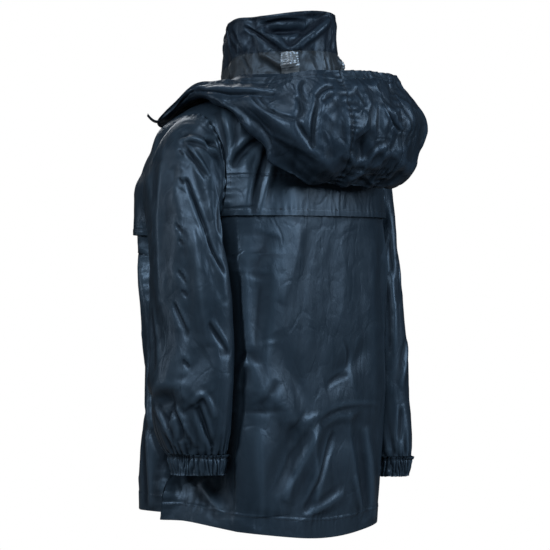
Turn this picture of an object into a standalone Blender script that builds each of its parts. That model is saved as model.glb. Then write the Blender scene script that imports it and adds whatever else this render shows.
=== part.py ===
"""A child's hooded raincoat, filled out as worn, built from its cut and sewn pieces.

Frame: metres, +Z up, front -Y, the wearer's left +X.  The origin is the centre of the neck
opening, at the height of the back neck seam.

How the shapes are made:
* The body is one smooth tube of level rings.  Each body piece is a stretch of that tube.
* Each sleeve is a loft from its armhole to its cuff, between an overarm and an underarm line.
* The hood is a fan of profiles round the neck: neck seam, down the back, up to the face edge.
* Every piece is an open sheet of points with a Solidify modifier for the cloth's thickness.
"""

import bpy
import numpy as np

MM = 0.001
ANGLE_STEP, HEIGHT_STEP, STATION_STEP = 0.5, 0.5 * MM, 0.02   # steps that give a wall's slope

# ---------------------------------------------------------------- driving dimensions
CLOTH = 1.5 * MM                 # wall of one sewn piece
SEAM_GAP = 0.4 * MM              # each piece stops this short of its seam line
SLEEVE_SEAM_GAP = 0.55 * MM      # the same along a sleeve, whose wall turns at its seams
ARMHOLE_GAP = 0.5 * MM           # the sleeve's first ring lies this far inside the armhole
FLAP_LIFT = 4.6 * MM             # outer face of a yoke's free flap above the panel under it
FLAP_LIFT_AT_SEAM = 2.0 * MM     # the same where the flap is sewn into the armhole
FLAP_FREE_ANGLE = 16.0           # degrees from the armhole over which it comes free
FLAP_STARTS, FLAP_FULL = 34.0 * MM, 8.0 * MM   # heights above the hidden seam where it lifts off
STORM_LIFT_LOW = 2.6 * MM        # storm flap above the fronts
STORM_LIFT_HIGH = 7.0 * MM       # storm flap above the front yokes
STORM_HALF_WIDTH = 24.0 * MM
STORM_RADIUS_NECK, STORM_RADIUS_CHEST = 85.0 * MM, 115.0 * MM
STORM_CHEST = -60.0 * MM         # height from which the body has its chest's radius there
STORM_STEP = 24.0 * MM           # the storm flap rises over the front yokes along this length
STORM_BEND = 4.0 * MM            # it turns from body to collar this far under the neck seam
STORM_COLLAR_ROWS = (0.97, 0.75, 0.5, 0.25, 0.08)   # its rows as shares of the collar's height
STORM_COLUMNS = 5                # its middle column carries the studs
STORM_COLLAR_CLOSER = 2.2 * MM   # it lies this much closer to the collar than to the yokes

# The body tube, neck to hem.  A ring's height is given at the side, the back and the front.
# Lengths in mm.  Squareness is the exponent of the ring's superellipse.
RING_COLUMNS = ("side_z", "back_z", "front_z", "half_width", "back_y", "front_y", "squareness")
RINGS = (
    (0.0, 0.0, -35.0, 73.0, 76.0, -72.0, 2.00),          # neck seam
    (-14.0, -9.0, -46.0, 92.0, 78.0, -82.0, 2.10),
    (-32.0, -24.0, -62.0, 118.0, 79.0, -97.0, 2.25),
    (-56.0, -48.0, -84.0, 149.0, 80.0, -122.0, 2.65),    # shoulder point
    (-95.0, -90.0, -116.0, 157.0, 81.0, -141.0, 2.95),
    (-145.0, -143.0, -155.0, 165.0, 83.0, -150.0, 3.10),  # middle of the armhole
    (-230.0, -230.0, -232.0, 171.0, 84.0, -148.0, 3.30),  # underarm
    (-300.0, -302.0, -300.0, 170.0, 85.0, -138.0, 3.30),
    (-380.0, -384.0, -380.0, 169.0, 84.0, -131.0, 3.30),
    (-435.0, -444.0, -434.0, 166.0, 82.0, -135.0, 3.30),
    (-500.0, -514.0, -498.0, 162.0, 80.0, -146.0, 3.30),
    (-568.0, -593.0, -567.0, 159.0, 77.0, -152.0, 3.20),  # hem
)
LEVEL_POWER = 1.35               # how soon a ring reaches its back and front heights

# The hanging arm pushes the body's side in, to this far from the sleeve.
ARM_CLEAR = 5.0 * MM
ARM_CLEAR_ROUND = 12.0 * MM       # how softly the pushed-in stretch begins
ARM_PUSH_FROM, ARM_PUSH_FULL = -140.0 * MM, -236.0 * MM
ARM_PUSH_END, ARM_PUSH_GONE = -500.0 * MM, -585.0 * MM
ARM_PUSH_LEFT_AT_HEM = 0.3      # share of the push that is left below the cuff
# The push reaches further front and back than the sleeve: most near the underarm, where the
# sleeve's rings are tilted.
PUSH_WIDER_HIGH, PUSH_WIDER_LOW = 1.35, 1.15
ARM_PUSH_TILT_END = -300.0 * MM
PUSH_OPENS = 1.5                 # how fast the pushed-in stretch opens out past the sleeve

# The armhole is an ellipse in the tube's own angle and height.
ARMHOLE_ANGLE = 85.0
ARMHOLE_HALF_ANGLE = 22.0
ARMHOLE_MID = -143.0 * MM
ARMHOLE_HALF_HEIGHT = 87.0 * MM

ARMHOLE_ROWS = 10
SHOULDER_ROWS = 5
SKIRT_ROWS = 10
ROW_CLEAR = 5.2 * MM             # rows nearer than this to a seam's own row are left out
BACK_COLUMNS = 17
FRONT_COLUMNS = 9                # from the side to the storm flap's edge

NECK_HEIGHT = 0.0
HEM_HEIGHT = -568.0 * MM
FRONT_HEM_RISE = 10.0 * MM       # the front hem stops this far above the back one at the side
SIDE_SEAM_AT_HEM = 100.0         # degrees; the side seam runs forward on its way down
YOKE_SEAM = -133.0 * MM          # where the back body is sewn on, under the yoke
YOKE_EDGE_BACK = -181.0 * MM
YOKE_EDGE_FRONT = -203.0 * MM
FRONT_YOKE_SEAM = -150.0 * MM

# Large soft folds pressed into the body tube: a line from one angle and height to another.
# Angles in degrees from centre back, left side positive; the runs are heights in mm, and so
# are widths and depths.
FOLD_COLUMNS = ("angle_from", "run_from", "angle_to", "run_to", "width", "depth")
BODY_FOLDS = (
    (40.0, -90.0, 48.0, -225.0, 15.0, 5.0),
    (57.0, -170.0, 50.0, -340.0, 15.0, 6.0),
    (-52.0, -150.0, -48.0, -320.0, 16.0, 4.0),
    (46.0, -330.0, 20.0, -430.0, 15.0, 3.5),
    (5.0, -395.0, -40.0, -345.0, 14.0, 3.0),
    (-26.0, -430.0, -38.0, -560.0, 13.0, 4.0),
    (30.0, -440.0, 52.0, -560.0, 15.0, 4.0),
    (128.0, -150.0, 122.0, -330.0, 16.0, 5.0),
    (-128.0, -170.0, -124.0, -350.0, 16.0, 5.0),
    (150.0, -330.0, 128.0, -520.0, 16.0, 4.0),
    (-146.0, -300.0, -130.0, -500.0, 16.0, 4.0),
)
BODY_FOLD_RADIUS = 0.13          # metres along the cloth for one radian of angle

# Sleeve stations from armhole to cuff, for the left arm.  Lengths in mm.
SLEEVE_COLUMNS = ("station", "over_x", "over_z", "under_x", "under_z", "half_depth", "mid_y")
SLEEVE = (
    (0.0, 149.0, -56.0, 139.0, -230.0, 61.5, -20.0),        # replaced by the armhole itself
    (1.0, 172.0, -72.0, 142.0, -238.0, 60.0, -17.0),
    (2.0, 192.0, -105.0, 139.0, -252.0, 59.0, -12.0),
    (3.0, 202.0, -155.0, 133.0, -276.0, 60.0, -7.0),
    (4.0, 206.0, -230.0, 129.0, -318.0, 62.0, -3.0),
    (5.0, 206.0, -310.0, 125.0, -362.0, 63.0, -3.0),
    (6.0, 206.0, -390.0, 126.0, -412.0, 62.0, -3.0),
    (7.0, 202.0, -446.0, 128.0, -452.0, 56.0, -2.0),
    (8.0, 191.0, -480.0, 130.0, -480.0, 44.0, 0.0),         # top of the cuff
)
SLEEVE_END = 8.0
SLEEVE_ROWS = (0.0, 0.25, 0.6, 1.1, 1.7, 2.4, 3.1, 3.8, 4.5, 5.2, 5.9, 6.5, 7.1, 7.6, 8.0)
OUTER_SEAM_SWING, UNDER_SEAM_SWING = 22.0, 10.0   # degrees the seams swing back by the elbow
# How far a sleeve's outer face stays off the body: over the yokes' flaps, and lower down.
SLEEVE_OFF_YOKE, SLEEVE_OFF_BODY = 6.5 * MM, 3.5 * MM
SLEEVE_RISE = 5.5 * MM           # the sleeve stands straight out of the armhole this far
RISE_STATION = 0.25              # at this station
ARMHOLE_BLEND = 4.0              # station at which the armhole's own shape has faded out
YOKE_BLEND = 2.5                 # station below which the sleeve may come nearer to the body
CUFF_DEPTH = 26.0 * MM
CUFF_PLEATS = 20
PLEAT_HEIGHT = 1.5 * MM
CUFF_CLOTH = 1.2 * MM
CUFF_RINGS = ((0.0, 1.0, 0.3), (0.2, 0.96, 1.0), (1.0, 0.96, 0.9))
# each ring of the cuff: share of its depth, squeeze of its outline, height of its pleats
# How far each cuff hangs lower, further out and further back than the table says, and how far
# the elbow lies further forward.
SLEEVE_POSE = {"left": {"sign": 1, "drop": 0.0, "out": 0.0, "back": 0.0, "elbow": 0.0},
               "right": {"sign": -1, "drop": 16.0 * MM, "out": 14.0 * MM, "back": 24.0 * MM,
                         "elbow": 6.0 * MM}}
HEIGHT_CORRECTIONS = 5           # rounds when a height or angle is found by correction

# Folds on a sleeve: angle round the arm (0 back, 90 outside, 180 front); the runs are stations.
SLEEVE_FOLDS = (
    (96.0, 1.2, 20.0, 3.6, 11.0, 5.0),
    (92.0, 2.4, 8.0, 4.4, 11.0, 4.0),
    (150.0, 4.2, 95.0, 5.6, 12.0, 4.0),
    (40.0, 5.4, 110.0, 6.6, 12.0, 4.0),
    (170.0, 6.2, 80.0, 6.3, 10.0, 4.5),
    (190.0, 2.6, 150.0, 4.2, 12.0, 3.5),
)
SLEEVE_FOLD_RADIUS = 0.052
SLEEVE_STATION_LENGTH = 0.052

# Collar: rises from the neck seam, soft, pushed in at the back.  Lengths in mm.
COLLAR_CLOTH = 1.6 * MM
COLLAR_TOP = {"back_z": 84.0 * MM, "side_z": 75.0 * MM, "front_z": 45.0 * MM}
COLLAR_TOP_HALF_WIDTH = 71.0 * MM
COLLAR_TOP_BACK_Y = 70.0 * MM
COLLAR_TOP_FRONT_Y = -74.0 * MM
COLLAR_BAND_SHARE = 0.38         # height of the lower band's seam as a share of the collar
COLLAR_FRONT_ANGLE = 178.5       # the collar's ends, degrees from centre back
COLLAR_COLUMNS, COLLAR_LOWER_ROWS, COLLAR_UPPER_ROWS = 31, 4, 7
COLLAR_TAPE_ANGLE = 40.0         # the two taped seams of the lower band
COLLAR_TAPE_SPREAD = 13.0
COLLAR_TAPE_SWELL = 8.0 * MM
PUSHED_IN_ANGLE = 36.0           # middle of the inward fold
PUSHED_IN_HALF_ANGLE = 62.0      # its half-width at the top
PUSHED_IN_DEPTH = 9.0 * MM
PUSHED_IN_FLAT, PUSHED_IN_END = 0.55, 1.05   # shares of its half-width: full depth, then none
PUSHED_IN_FULL = 0.5             # share of the upper band's height by which it is fully in
TOP_EDGE_OUT, TOP_EDGE_FROM = 0.55, 0.8      # near the top edge it comes out again by this share

# Hood stations round the neck, the same on both sides.  Angles in degrees, lengths in mm.
# Inner and bottom points lie off the body tube at a ring height; outer and edge points are
# given by their radius from the neck's centre line and their height.
HOOD_COLUMNS = ("angle", "inner_v", "inner_off", "bottom_v", "bottom_off",
                "outer_r", "outer_z", "edge_r", "edge_z")
HOOD = (
    (0.0, -70.0, 10.0, -149.0, 42.0, 167.0, -70.0, 142.0, 4.0),
    (18.0, -68.0, 10.0, -148.0, 42.0, 174.0, -68.0, 148.0, 3.0),
    (38.0, -62.0, 10.0, -142.0, 39.0, 184.0, -60.0, 150.0, 0.0),
    (54.0, -50.0, 10.0, -112.0, 33.0, 174.0, -54.0, 141.0, -6.0),
    (70.0, -36.0, 8.0, -68.0, 17.0, 165.0, -41.0, 136.0, -9.0),
    (85.0, -26.0, 7.0, -42.0, 10.0, 153.0, -29.0, 134.0, -10.0),
    (100.0, -22.0, 7.0, -37.0, 10.0, 144.0, -28.0, 139.0, -13.0),
    (114.0, -22.0, 7.0, -36.0, 9.0, 143.0, -41.0, 151.0, -36.0),
    (126.0, -24.0, 7.0, -42.0, 8.0, 149.0, -55.0, 163.0, -57.0),
    (140.0, -18.0, 6.0, -34.0, 7.0, 133.0, -57.0, 147.0, -66.0),
    (152.0, -12.0, 5.5, -24.0, 6.0, 112.0, -55.0, 122.0, -61.0),
    (160.0, -8.0, 5.0, -16.0, 5.5, 98.0, -50.0, 104.0, -54.0),
)
HOOD_OWN_ANGLE_FROM, HOOD_OWN_ANGLE_FULL = 48.0, 80.0
HOOD_SEAM_ANGLE = 17.0           # between the centre strip and the side pieces
HOOD_SIDE_COLUMNS = (26.0, 35.0, 44.0, 52.0, 60.0, 68.0, 76.0, 83.0, 90.0, 98.0,
                     107.0, 115.0, 120.5, 126.0, 133.0, 141.0, 150.0, 160.0)
HOOD_CENTRE_COLUMNS, HOOD_CENTRE_ROWS, HOOD_LOWER_ROWS = 8, 6, 9
HOOD_ROWS = (4.0, 3.65, 3.3, 2.95, 2.6, 2.25, 1.9, 1.5, 1.0, 0.5, 0.0)
HOOD_CROSS_SEAM = 2.42           # profile position of the seam across the centre strip
HOOD_BAND = 3.78                 # profile position of the elastic casing's lower edge
HOOD_NECK_DROP = 1.0 * MM        # its neck seam lies this far under the collar's
HOOD_NECK_LIFT = 1.4 * MM
HOOD_NECK_OUT = 1.8 * MM
HOOD_CLOTH = 1.1 * MM
HOOD_PLEATS = 12
HOOD_PLEAT_HEIGHT = 1.6 * MM
HOOD_PLEAT_ROWS = (0.7, 1.0, 0.5)   # share of that height at the edge, middle and lower seam

TAPE_ANGLE = 126.0               # the hood's front corner
TAPE_WIDTH = 7.0 * MM
TAPE_LENGTH = 14.0 * MM
TAPE_CLOTH = 1.0 * MM
TAPE_ROOT = 3.72                 # profile position where it is sewn on
TAPE_LIFT = 0.5 * MM             # its underside above the hood
TAPE_DROOP = 1.2                 # past the hood's edge it droops more and more
TAPE_ROWS = 7
STUD_RADIUS = 6.0 * MM
STUD_HEIGHT = 2.2 * MM
STUD_SIDES = 16
STUD_HEIGHTS = (-95.0, -185.0, -275.0, -365.0, -455.0, -540.0)

NAVY = (0.030, 0.048, 0.085, 1.0)
NAVY_LIGHT = (0.045, 0.070, 0.115, 1.0)
COATED_GREY = (0.16, 0.19, 0.22, 1.0)
TAPE_BLACK = (0.02, 0.022, 0.03, 1.0)
STUD_GREY = (0.10, 0.11, 0.13, 1.0)


# ---------------------------------------------------------------- small helpers
def column(table, names, name, scale=1.0):
    """One named column of a table as an array, in the table's order."""
    return np.array([row[names.index(name)] for row in table]) * scale


def through_rows(where, stops, values):
    """A smooth curve through (stops, values): cubic pieces with central-difference slopes."""
    order = np.argsort(stops)
    stops, values = np.asarray(stops)[order], np.asarray(values)[order]
    slopes = np.gradient(values, stops)
    where = np.clip(where, stops[0], stops[-1])
    i = np.clip(np.searchsorted(stops, where) - 1, 0, len(stops) - 2)
    span = stops[i + 1] - stops[i]
    s = (where - stops[i]) / span
    return (values[i] * (1 + 2 * s) * (1 - s) ** 2 + slopes[i] * span * s * (1 - s) ** 2
            + values[i + 1] * s ** 2 * (3 - 2 * s) - slopes[i + 1] * span * s ** 2 * (1 - s))


def smooth_step(low, high, value):
    """0 below low, 1 above high, an S-shaped rise between."""
    s = np.clip((value - low) / (high - low), 0.0, 1.0)
    return s * s * (3 - 2 * s)


def fold_depth(u, v, folds):
    """Depth of soft folds at cloth positions (u, v): each a round trough that fades at its ends."""
    total = np.zeros(np.broadcast(u, v).shape)
    for u0, v0, u1, v1, width, depth in folds:
        along = np.array((u1 - u0, v1 - v0))
        length = np.hypot(*along)
        s = ((u - u0) * along[0] + (v - v0) * along[1]) / length ** 2
        across = ((u - u0) * along[1] - (v - v0) * along[0]) / length
        inside = np.clip(s, 0.0, 1.0)
        ends = np.exp(-((s - inside) * length / width) ** 2)
        total += depth * np.exp(-(across / width) ** 2) * ends * np.sin(np.pi * inside) ** 0.5
    return total


def fold_rows(table, angle_scale, run_scale):
    """A table of folds in metres along the cloth."""
    scales = (angle_scale, run_scale, angle_scale, run_scale, MM, MM)
    return list(zip(*(column(table, FOLD_COLUMNS, name, scale)
                      for name, scale in zip(FOLD_COLUMNS, scales))))


def unit(vectors):
    return vectors / np.maximum(np.linalg.norm(vectors, axis=-1, keepdims=True), 1e-12)


def surface_normal(surface, u, v, step_u, step_v):
    """Outward normal of a surface(u, v) whose v grows upward and u runs back, left, front."""
    along_u = surface(u + step_u, v) - surface(u - step_u, v)
    along_v = surface(u, v - step_v) - surface(u, v + step_v)
    return unit(np.cross(along_u, along_v))


# ---------------------------------------------------------------- the body tube
def ring_value(name, v, scale=1.0):
    return through_rows(v, column(RINGS, RING_COLUMNS, "side_z", MM),
                        column(RINGS, RING_COLUMNS, name, scale))


def sleeve_value(name, station):
    return through_rows(station, column(SLEEVE, SLEEVE_COLUMNS, "station"),
                        column(SLEEVE, SLEEVE_COLUMNS, name, MM))


def posed(station, pose):
    """How far a sleeve is moved out, back and down at a station by its arm's pose."""
    share = (station / SLEEVE_END) ** 3
    elbow = pose["elbow"] * np.sin(np.pi * station / SLEEVE_END)
    return pose["out"] * share, pose["back"] * share - elbow, pose["drop"] * share


def sleeve_section(height, pose):
    """Level section of a hanging sleeve: middle x and y and half-width and half-depth."""
    station = through_rows(height, column(SLEEVE, SLEEVE_COLUMNS, "under_z", MM),
                           column(SLEEVE, SLEEVE_COLUMNS, "station"))
    inner_x = sleeve_value("under_x", station)
    outer_x = through_rows(height, column(SLEEVE, SLEEVE_COLUMNS, "over_z", MM),
                           column(SLEEVE, SLEEVE_COLUMNS, "over_x", MM))
    out, back, _ = posed(station, pose)
    wider = PUSH_WIDER_LOW + (PUSH_WIDER_HIGH - PUSH_WIDER_LOW) * smooth_step(
        ARM_PUSH_TILT_END, ARM_PUSH_FULL, height)
    return ((inner_x + outer_x) / 2 + out, sleeve_value("mid_y", station) + back,
            (outer_x - inner_x) / 2, sleeve_value("half_depth", station) * wider)


def pushed_in(radius, angle, v, mid_y):
    """Keep the body's radius short of the sleeve beside it.

    The ray from the ring's middle meets the sleeve's enlarged section where a quadratic in the
    radius is zero.  Where it misses, the limit runs on outward, so the wall stays smooth.
    """
    limited = radius
    s, c = np.abs(np.sin(np.radians(angle))), np.cos(np.radians(angle))
    for side, sign in (("left", 1), ("right", -1)):
        x, y, half_x, half_y = sleeve_section(v, SLEEVE_POSE[side])
        half_x, half_y = half_x + ARM_CLEAR, half_y + ARM_CLEAR
        square = (s / half_x) ** 2 + (c / half_y) ** 2
        linear = 2 * (c * (mid_y - y) / half_y ** 2 - s * x / half_x ** 2)
        level = (x / half_x) ** 2 + ((mid_y - y) / half_y) ** 2 - 1
        inside = linear ** 2 - 4 * square * level
        reach = np.sqrt(np.abs(inside))
        limit = (-linear + np.where(inside > 0, -1.0, PUSH_OPENS) * reach) / (2 * square)
        gap = np.clip((limit - radius) / ARM_CLEAR_ROUND, -30, 30)
        short = radius - ARM_CLEAR_ROUND * np.log1p(np.exp(-gap))
        limited = np.where(angle * sign > 0, short, limited)
    push = smooth_step(ARM_PUSH_FROM, ARM_PUSH_FULL, v)
    push = push * (1 - (1 - ARM_PUSH_LEFT_AT_HEM) * smooth_step(ARM_PUSH_END, ARM_PUSH_GONE, v))
    return radius + (limited - radius) * push


def smooth_body(angle, v):
    """The body tube without folds; angle in degrees from centre back, v the side height."""
    angle, v = np.broadcast_arrays(np.asarray(angle, float), np.asarray(v, float))
    turn = np.radians(angle)
    back_y, front_y = ring_value("back_y", v, MM), ring_value("front_y", v, MM)
    mid_y, half_depth = (back_y + front_y) / 2, (back_y - front_y) / 2
    power = ring_value("squareness", v)
    radius = ((np.abs(np.sin(turn)) / ring_value("half_width", v, MM)) ** power
              + (np.abs(np.cos(turn)) / half_depth) ** power) ** (-1 / power)
    radius = pushed_in(radius, angle, v, mid_y)
    to_back = np.clip(np.cos(turn), 0, 1) ** LEVEL_POWER
    to_front = np.clip(-np.cos(turn), 0, 1) ** LEVEL_POWER
    height = (v + to_back * (ring_value("back_z", v, MM) - v)
              + to_front * (ring_value("front_z", v, MM) - v))
    return np.stack((radius * np.sin(turn), mid_y + radius * np.cos(turn), height), axis=-1)


def body(angle, v, lift=0.0):
    """The body tube with its large folds, moved out along its normal by lift."""
    angle, v = np.broadcast_arrays(np.asarray(angle, float), np.asarray(v, float))
    normal = surface_normal(smooth_body, angle, v, ANGLE_STEP, HEIGHT_STEP)
    per_degree = np.radians(1) * BODY_FOLD_RADIUS
    depth = fold_depth(angle * per_degree, v, fold_rows(BODY_FOLDS, per_degree, MM))
    return smooth_body(angle, v) + normal * (np.asarray(lift) - depth)[..., None]


def armhole_angle(v, towards_front):
    """Angle of the armhole's edge at side height v; its middle angle above and below it."""
    off = np.clip((v - ARMHOLE_MID) / ARMHOLE_HALF_HEIGHT, -1, 1)
    return ARMHOLE_ANGLE + (1 if towards_front else -1) * ARMHOLE_HALF_ANGLE * np.sqrt(1 - off ** 2)


def side_edge(v, towards_front):
    """Edge of a body piece: shoulder seam, armhole, then the side seam down to the hem."""
    underarm = ARMHOLE_MID - ARMHOLE_HALF_HEIGHT
    run = np.clip((underarm - v) / (underarm - HEM_HEIGHT), 0, 1)
    return armhole_angle(v, towards_front) + (SIDE_SEAM_AT_HEM - ARMHOLE_ANGLE) * run


def body_rows(top, bottom):
    """Row heights between top and bottom, taken from one list for the whole body.

    A flap so has the rows of the panel under it.  Rows are closer where the armhole turns.
    """
    arm_top, arm_bottom = ARMHOLE_MID + ARMHOLE_HALF_HEIGHT, ARMHOLE_MID - ARMHOLE_HALF_HEIGHT
    turn = np.linspace(0, np.pi, ARMHOLE_ROWS)
    free = np.concatenate((np.linspace(NECK_HEIGHT, arm_top, SHOULDER_ROWS)[1:-1],
                           ARMHOLE_MID + ARMHOLE_HALF_HEIGHT * np.cos(turn[1:-1]),
                           np.linspace(arm_bottom, HEM_HEIGHT, SKIRT_ROWS)[1:-1]))
    seams = np.array((NECK_HEIGHT, arm_top, YOKE_SEAM, FRONT_YOKE_SEAM, YOKE_EDGE_BACK,
                      YOKE_EDGE_FRONT, arm_bottom, HEM_HEIGHT + FRONT_HEM_RISE, HEM_HEIGHT))
    clear = np.abs(free[:, None] - seams).min(axis=1) > ROW_CLEAR
    rows = np.sort(np.concatenate((seams, free[clear])))[::-1]
    return rows[(rows <= top + ROW_CLEAR / 10) & (rows >= bottom - ROW_CLEAR / 10)]


def armhole_rows():
    """The rows that end at the armhole; the sleeve's columns start from the same points."""
    return body_rows(ARMHOLE_MID + ARMHOLE_HALF_HEIGHT, ARMHOLE_MID - ARMHOLE_HALF_HEIGHT)


def front_angles(v, side):
    """Column angles of a front piece: even to the storm flap's edge, then the flap's own."""
    edge, centre = side_edge(v, True)[:, None], 180.0
    flap = centre - storm_half_angle(v)[:, None]
    share = np.linspace(0, 1, FRONT_COLUMNS)
    angle = np.concatenate((edge + (flap - edge) * share, (flap + centre) / 2,
                            np.full_like(flap, centre)), axis=1)
    return angle if side == "left" else -angle[:, ::-1]


def storm_half_angle(v):
    """Half the storm flap's width as an angle; the body is narrower near the neck."""
    reach = smooth_step(0, STORM_CHEST, v)
    radius = STORM_RADIUS_NECK + (STORM_RADIUS_CHEST - STORM_RADIUS_NECK) * reach
    return np.degrees(STORM_HALF_WIDTH / radius)


# ---------------------------------------------------------------- the sleeves
def armhole_ring(beta, lift):
    """The armhole's edge moved out by lift; beta 0 back, 90 top, 180 front, 270 underarm."""
    turn = np.radians(beta)
    return body(ARMHOLE_ANGLE - ARMHOLE_HALF_ANGLE * np.cos(turn),
                ARMHOLE_MID + ARMHOLE_HALF_HEIGHT * np.sin(turn), lift)


def sleeve_ellipse(beta, station, pose):
    """The left sleeve's plain loft: an ellipse between its overarm and underarm lines."""
    turn = np.radians(beta)
    over_x, over_z, under_x, under_z, half_depth, mid_y = (
        sleeve_value(name, station) for name in SLEEVE_COLUMNS[1:])
    out, back, down = posed(station, pose)
    x = (over_x + under_x) / 2 + np.sin(turn) * (over_x - under_x) / 2 + out
    y = mid_y + half_depth * np.cos(turn) + back
    z = (over_z + under_z) / 2 + np.sin(turn) * (over_z - under_z) / 2 - down
    return np.stack((x, y, z), axis=-1)


def smooth_sleeve(beta, station, pose):
    """Straight out of the armhole at first, then over into the plain loft."""
    beta, station = np.broadcast_arrays(np.asarray(beta, float), np.asarray(station, float))
    lift = SLEEVE_RISE * np.clip(station / RISE_STATION, 0, 1)
    later = np.maximum(station, RISE_STATION)
    fade = 1 - smooth_step(RISE_STATION, ARMHOLE_BLEND, later)
    start = sleeve_ellipse(beta, np.full_like(station, RISE_STATION), pose)
    own_shape = armhole_ring(beta, lift) - start
    return sleeve_ellipse(beta, later, pose) + own_shape * fade[..., None]


def clear_of_body(points, wanted, sign):
    """Move left-sleeve points outward from the body's middle until they are clear of it.

    The body's own radius is read at each point's angle and height; the height is found by a
    few corrections, because a ring isn't quite level.
    """
    v = points[..., 2].copy()
    for _ in range(HEIGHT_CORRECTIONS):
        middle = (ring_value("back_y", v, MM) + ring_value("front_y", v, MM)) / 2
        angle = sign * np.degrees(np.arctan2(points[..., 0], points[..., 1] - middle))
        wall = smooth_body(angle, v)
        v = v + points[..., 2] - wall[..., 2]
    out = points - np.stack((0 * v, middle, points[..., 2]), axis=-1)
    radius = np.hypot(out[..., 0], out[..., 1])
    short = wanted - (radius - np.hypot(wall[..., 0], wall[..., 1] - middle))
    push = MM * np.log1p(np.exp(np.clip(short / MM, -30, 30)))
    push = np.where(wanted > 0, push, 0.0)
    return points + out / radius[..., None] * push[..., None]


def sleeve(beta, station, pose, inset=0.0):
    """The left sleeve with its folds, moved in along its normal by inset."""
    beta, station = np.broadcast_arrays(np.asarray(beta, float), np.asarray(station, float))
    along_u = smooth_sleeve(beta + 1, station, pose) - smooth_sleeve(beta - 1, station, pose)
    along_v = (smooth_sleeve(beta, np.minimum(station + STATION_STEP, SLEEVE_END), pose)
               - smooth_sleeve(beta, np.maximum(station - STATION_STEP, 0), pose))
    normal = unit(np.cross(along_u, along_v))
    per_degree = np.radians(1) * SLEEVE_FOLD_RADIUS
    wrapped = np.mod(beta + 90, 360) - 90
    depth = fold_depth(wrapped * per_degree, station * SLEEVE_STATION_LENGTH,
                       fold_rows(SLEEVE_FOLDS, per_degree, SLEEVE_STATION_LENGTH))
    depth = depth * smooth_step(0, 1, station) * (1 - smooth_step(SLEEVE_END - 1, SLEEVE_END, station))
    points = smooth_sleeve(beta, station, pose) - normal * (depth + inset)[..., None]
    wanted = (SLEEVE_OFF_YOKE
              + (SLEEVE_OFF_BODY - SLEEVE_OFF_YOKE) * smooth_step(YOKE_BLEND, ARMHOLE_BLEND, station))
    return clear_of_body(points, np.where(station > RISE_STATION, wanted, 0.0), pose["sign"])


def outer_seam(station):
    """Angle of the outside seam: on top at the sleeve head, a little behind lower down."""
    return 90 - OUTER_SEAM_SWING * smooth_step(RISE_STATION, ARMHOLE_BLEND, station)


def under_seam(station):
    return -90 - UNDER_SEAM_SWING * smooth_step(RISE_STATION, ARMHOLE_BLEND, station)


# ---------------------------------------------------------------- the collar
def collar(angle, rise, lift=0.0):
    """Collar wall: rise 0 at the neck seam, 1 at the top edge."""
    angle, rise = np.broadcast_arrays(np.asarray(angle, float), np.asarray(rise, float))
    foot = smooth_body(angle, np.full_like(angle, NECK_HEIGHT))
    turn = np.radians(angle)
    mid_y = (COLLAR_TOP_BACK_Y + COLLAR_TOP_FRONT_Y) / 2
    half_depth = (COLLAR_TOP_BACK_Y - COLLAR_TOP_FRONT_Y) / 2
    to_back = np.clip(np.cos(turn), 0, 1) ** 2
    to_front = np.clip(-np.cos(turn), 0, 1) ** 2
    side = COLLAR_TOP["side_z"]
    top_z = (side + to_back * (COLLAR_TOP["back_z"] - side)
             + to_front * (COLLAR_TOP["front_z"] - side))
    top = np.stack((COLLAR_TOP_HALF_WIDTH * np.sin(turn), mid_y + half_depth * np.cos(turn),
                    top_z), axis=-1)
    wall = foot + (top - foot) * rise[..., None]
    out = np.stack((np.sin(turn), np.cos(turn), np.zeros_like(turn)), axis=-1)
    return wall + out * (lift + collar_swell(angle, rise) - collar_fold(angle, rise))[..., None]


def collar_swell(angle, rise):
    """The lower band swells out where its two taped seams gather it."""
    across = np.exp(-((np.abs(angle) - COLLAR_TAPE_ANGLE) / COLLAR_TAPE_SPREAD) ** 2)
    up = np.sin(np.pi * np.clip(rise / COLLAR_BAND_SHARE, 0, 1)) ** 2
    return COLLAR_TAPE_SWELL * across * up


def collar_fold(angle, rise):
    """The back of the collar folds in above its lower band: a wedge, widest near the top."""
    above = np.clip((rise - COLLAR_BAND_SHARE) / (1 - COLLAR_BAND_SHARE), 0, 1)
    half = np.maximum(PUSHED_IN_HALF_ANGLE * above, 1.0)
    off = np.abs(angle - PUSHED_IN_ANGLE) / half
    inside = 1 - smooth_step(PUSHED_IN_FLAT, PUSHED_IN_END, off)
    near_top = 1 - TOP_EDGE_OUT * smooth_step(TOP_EDGE_FROM, 1.0, above)
    return PUSHED_IN_DEPTH * inside * smooth_step(0.0, PUSHED_IN_FULL, above) * near_top


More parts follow.
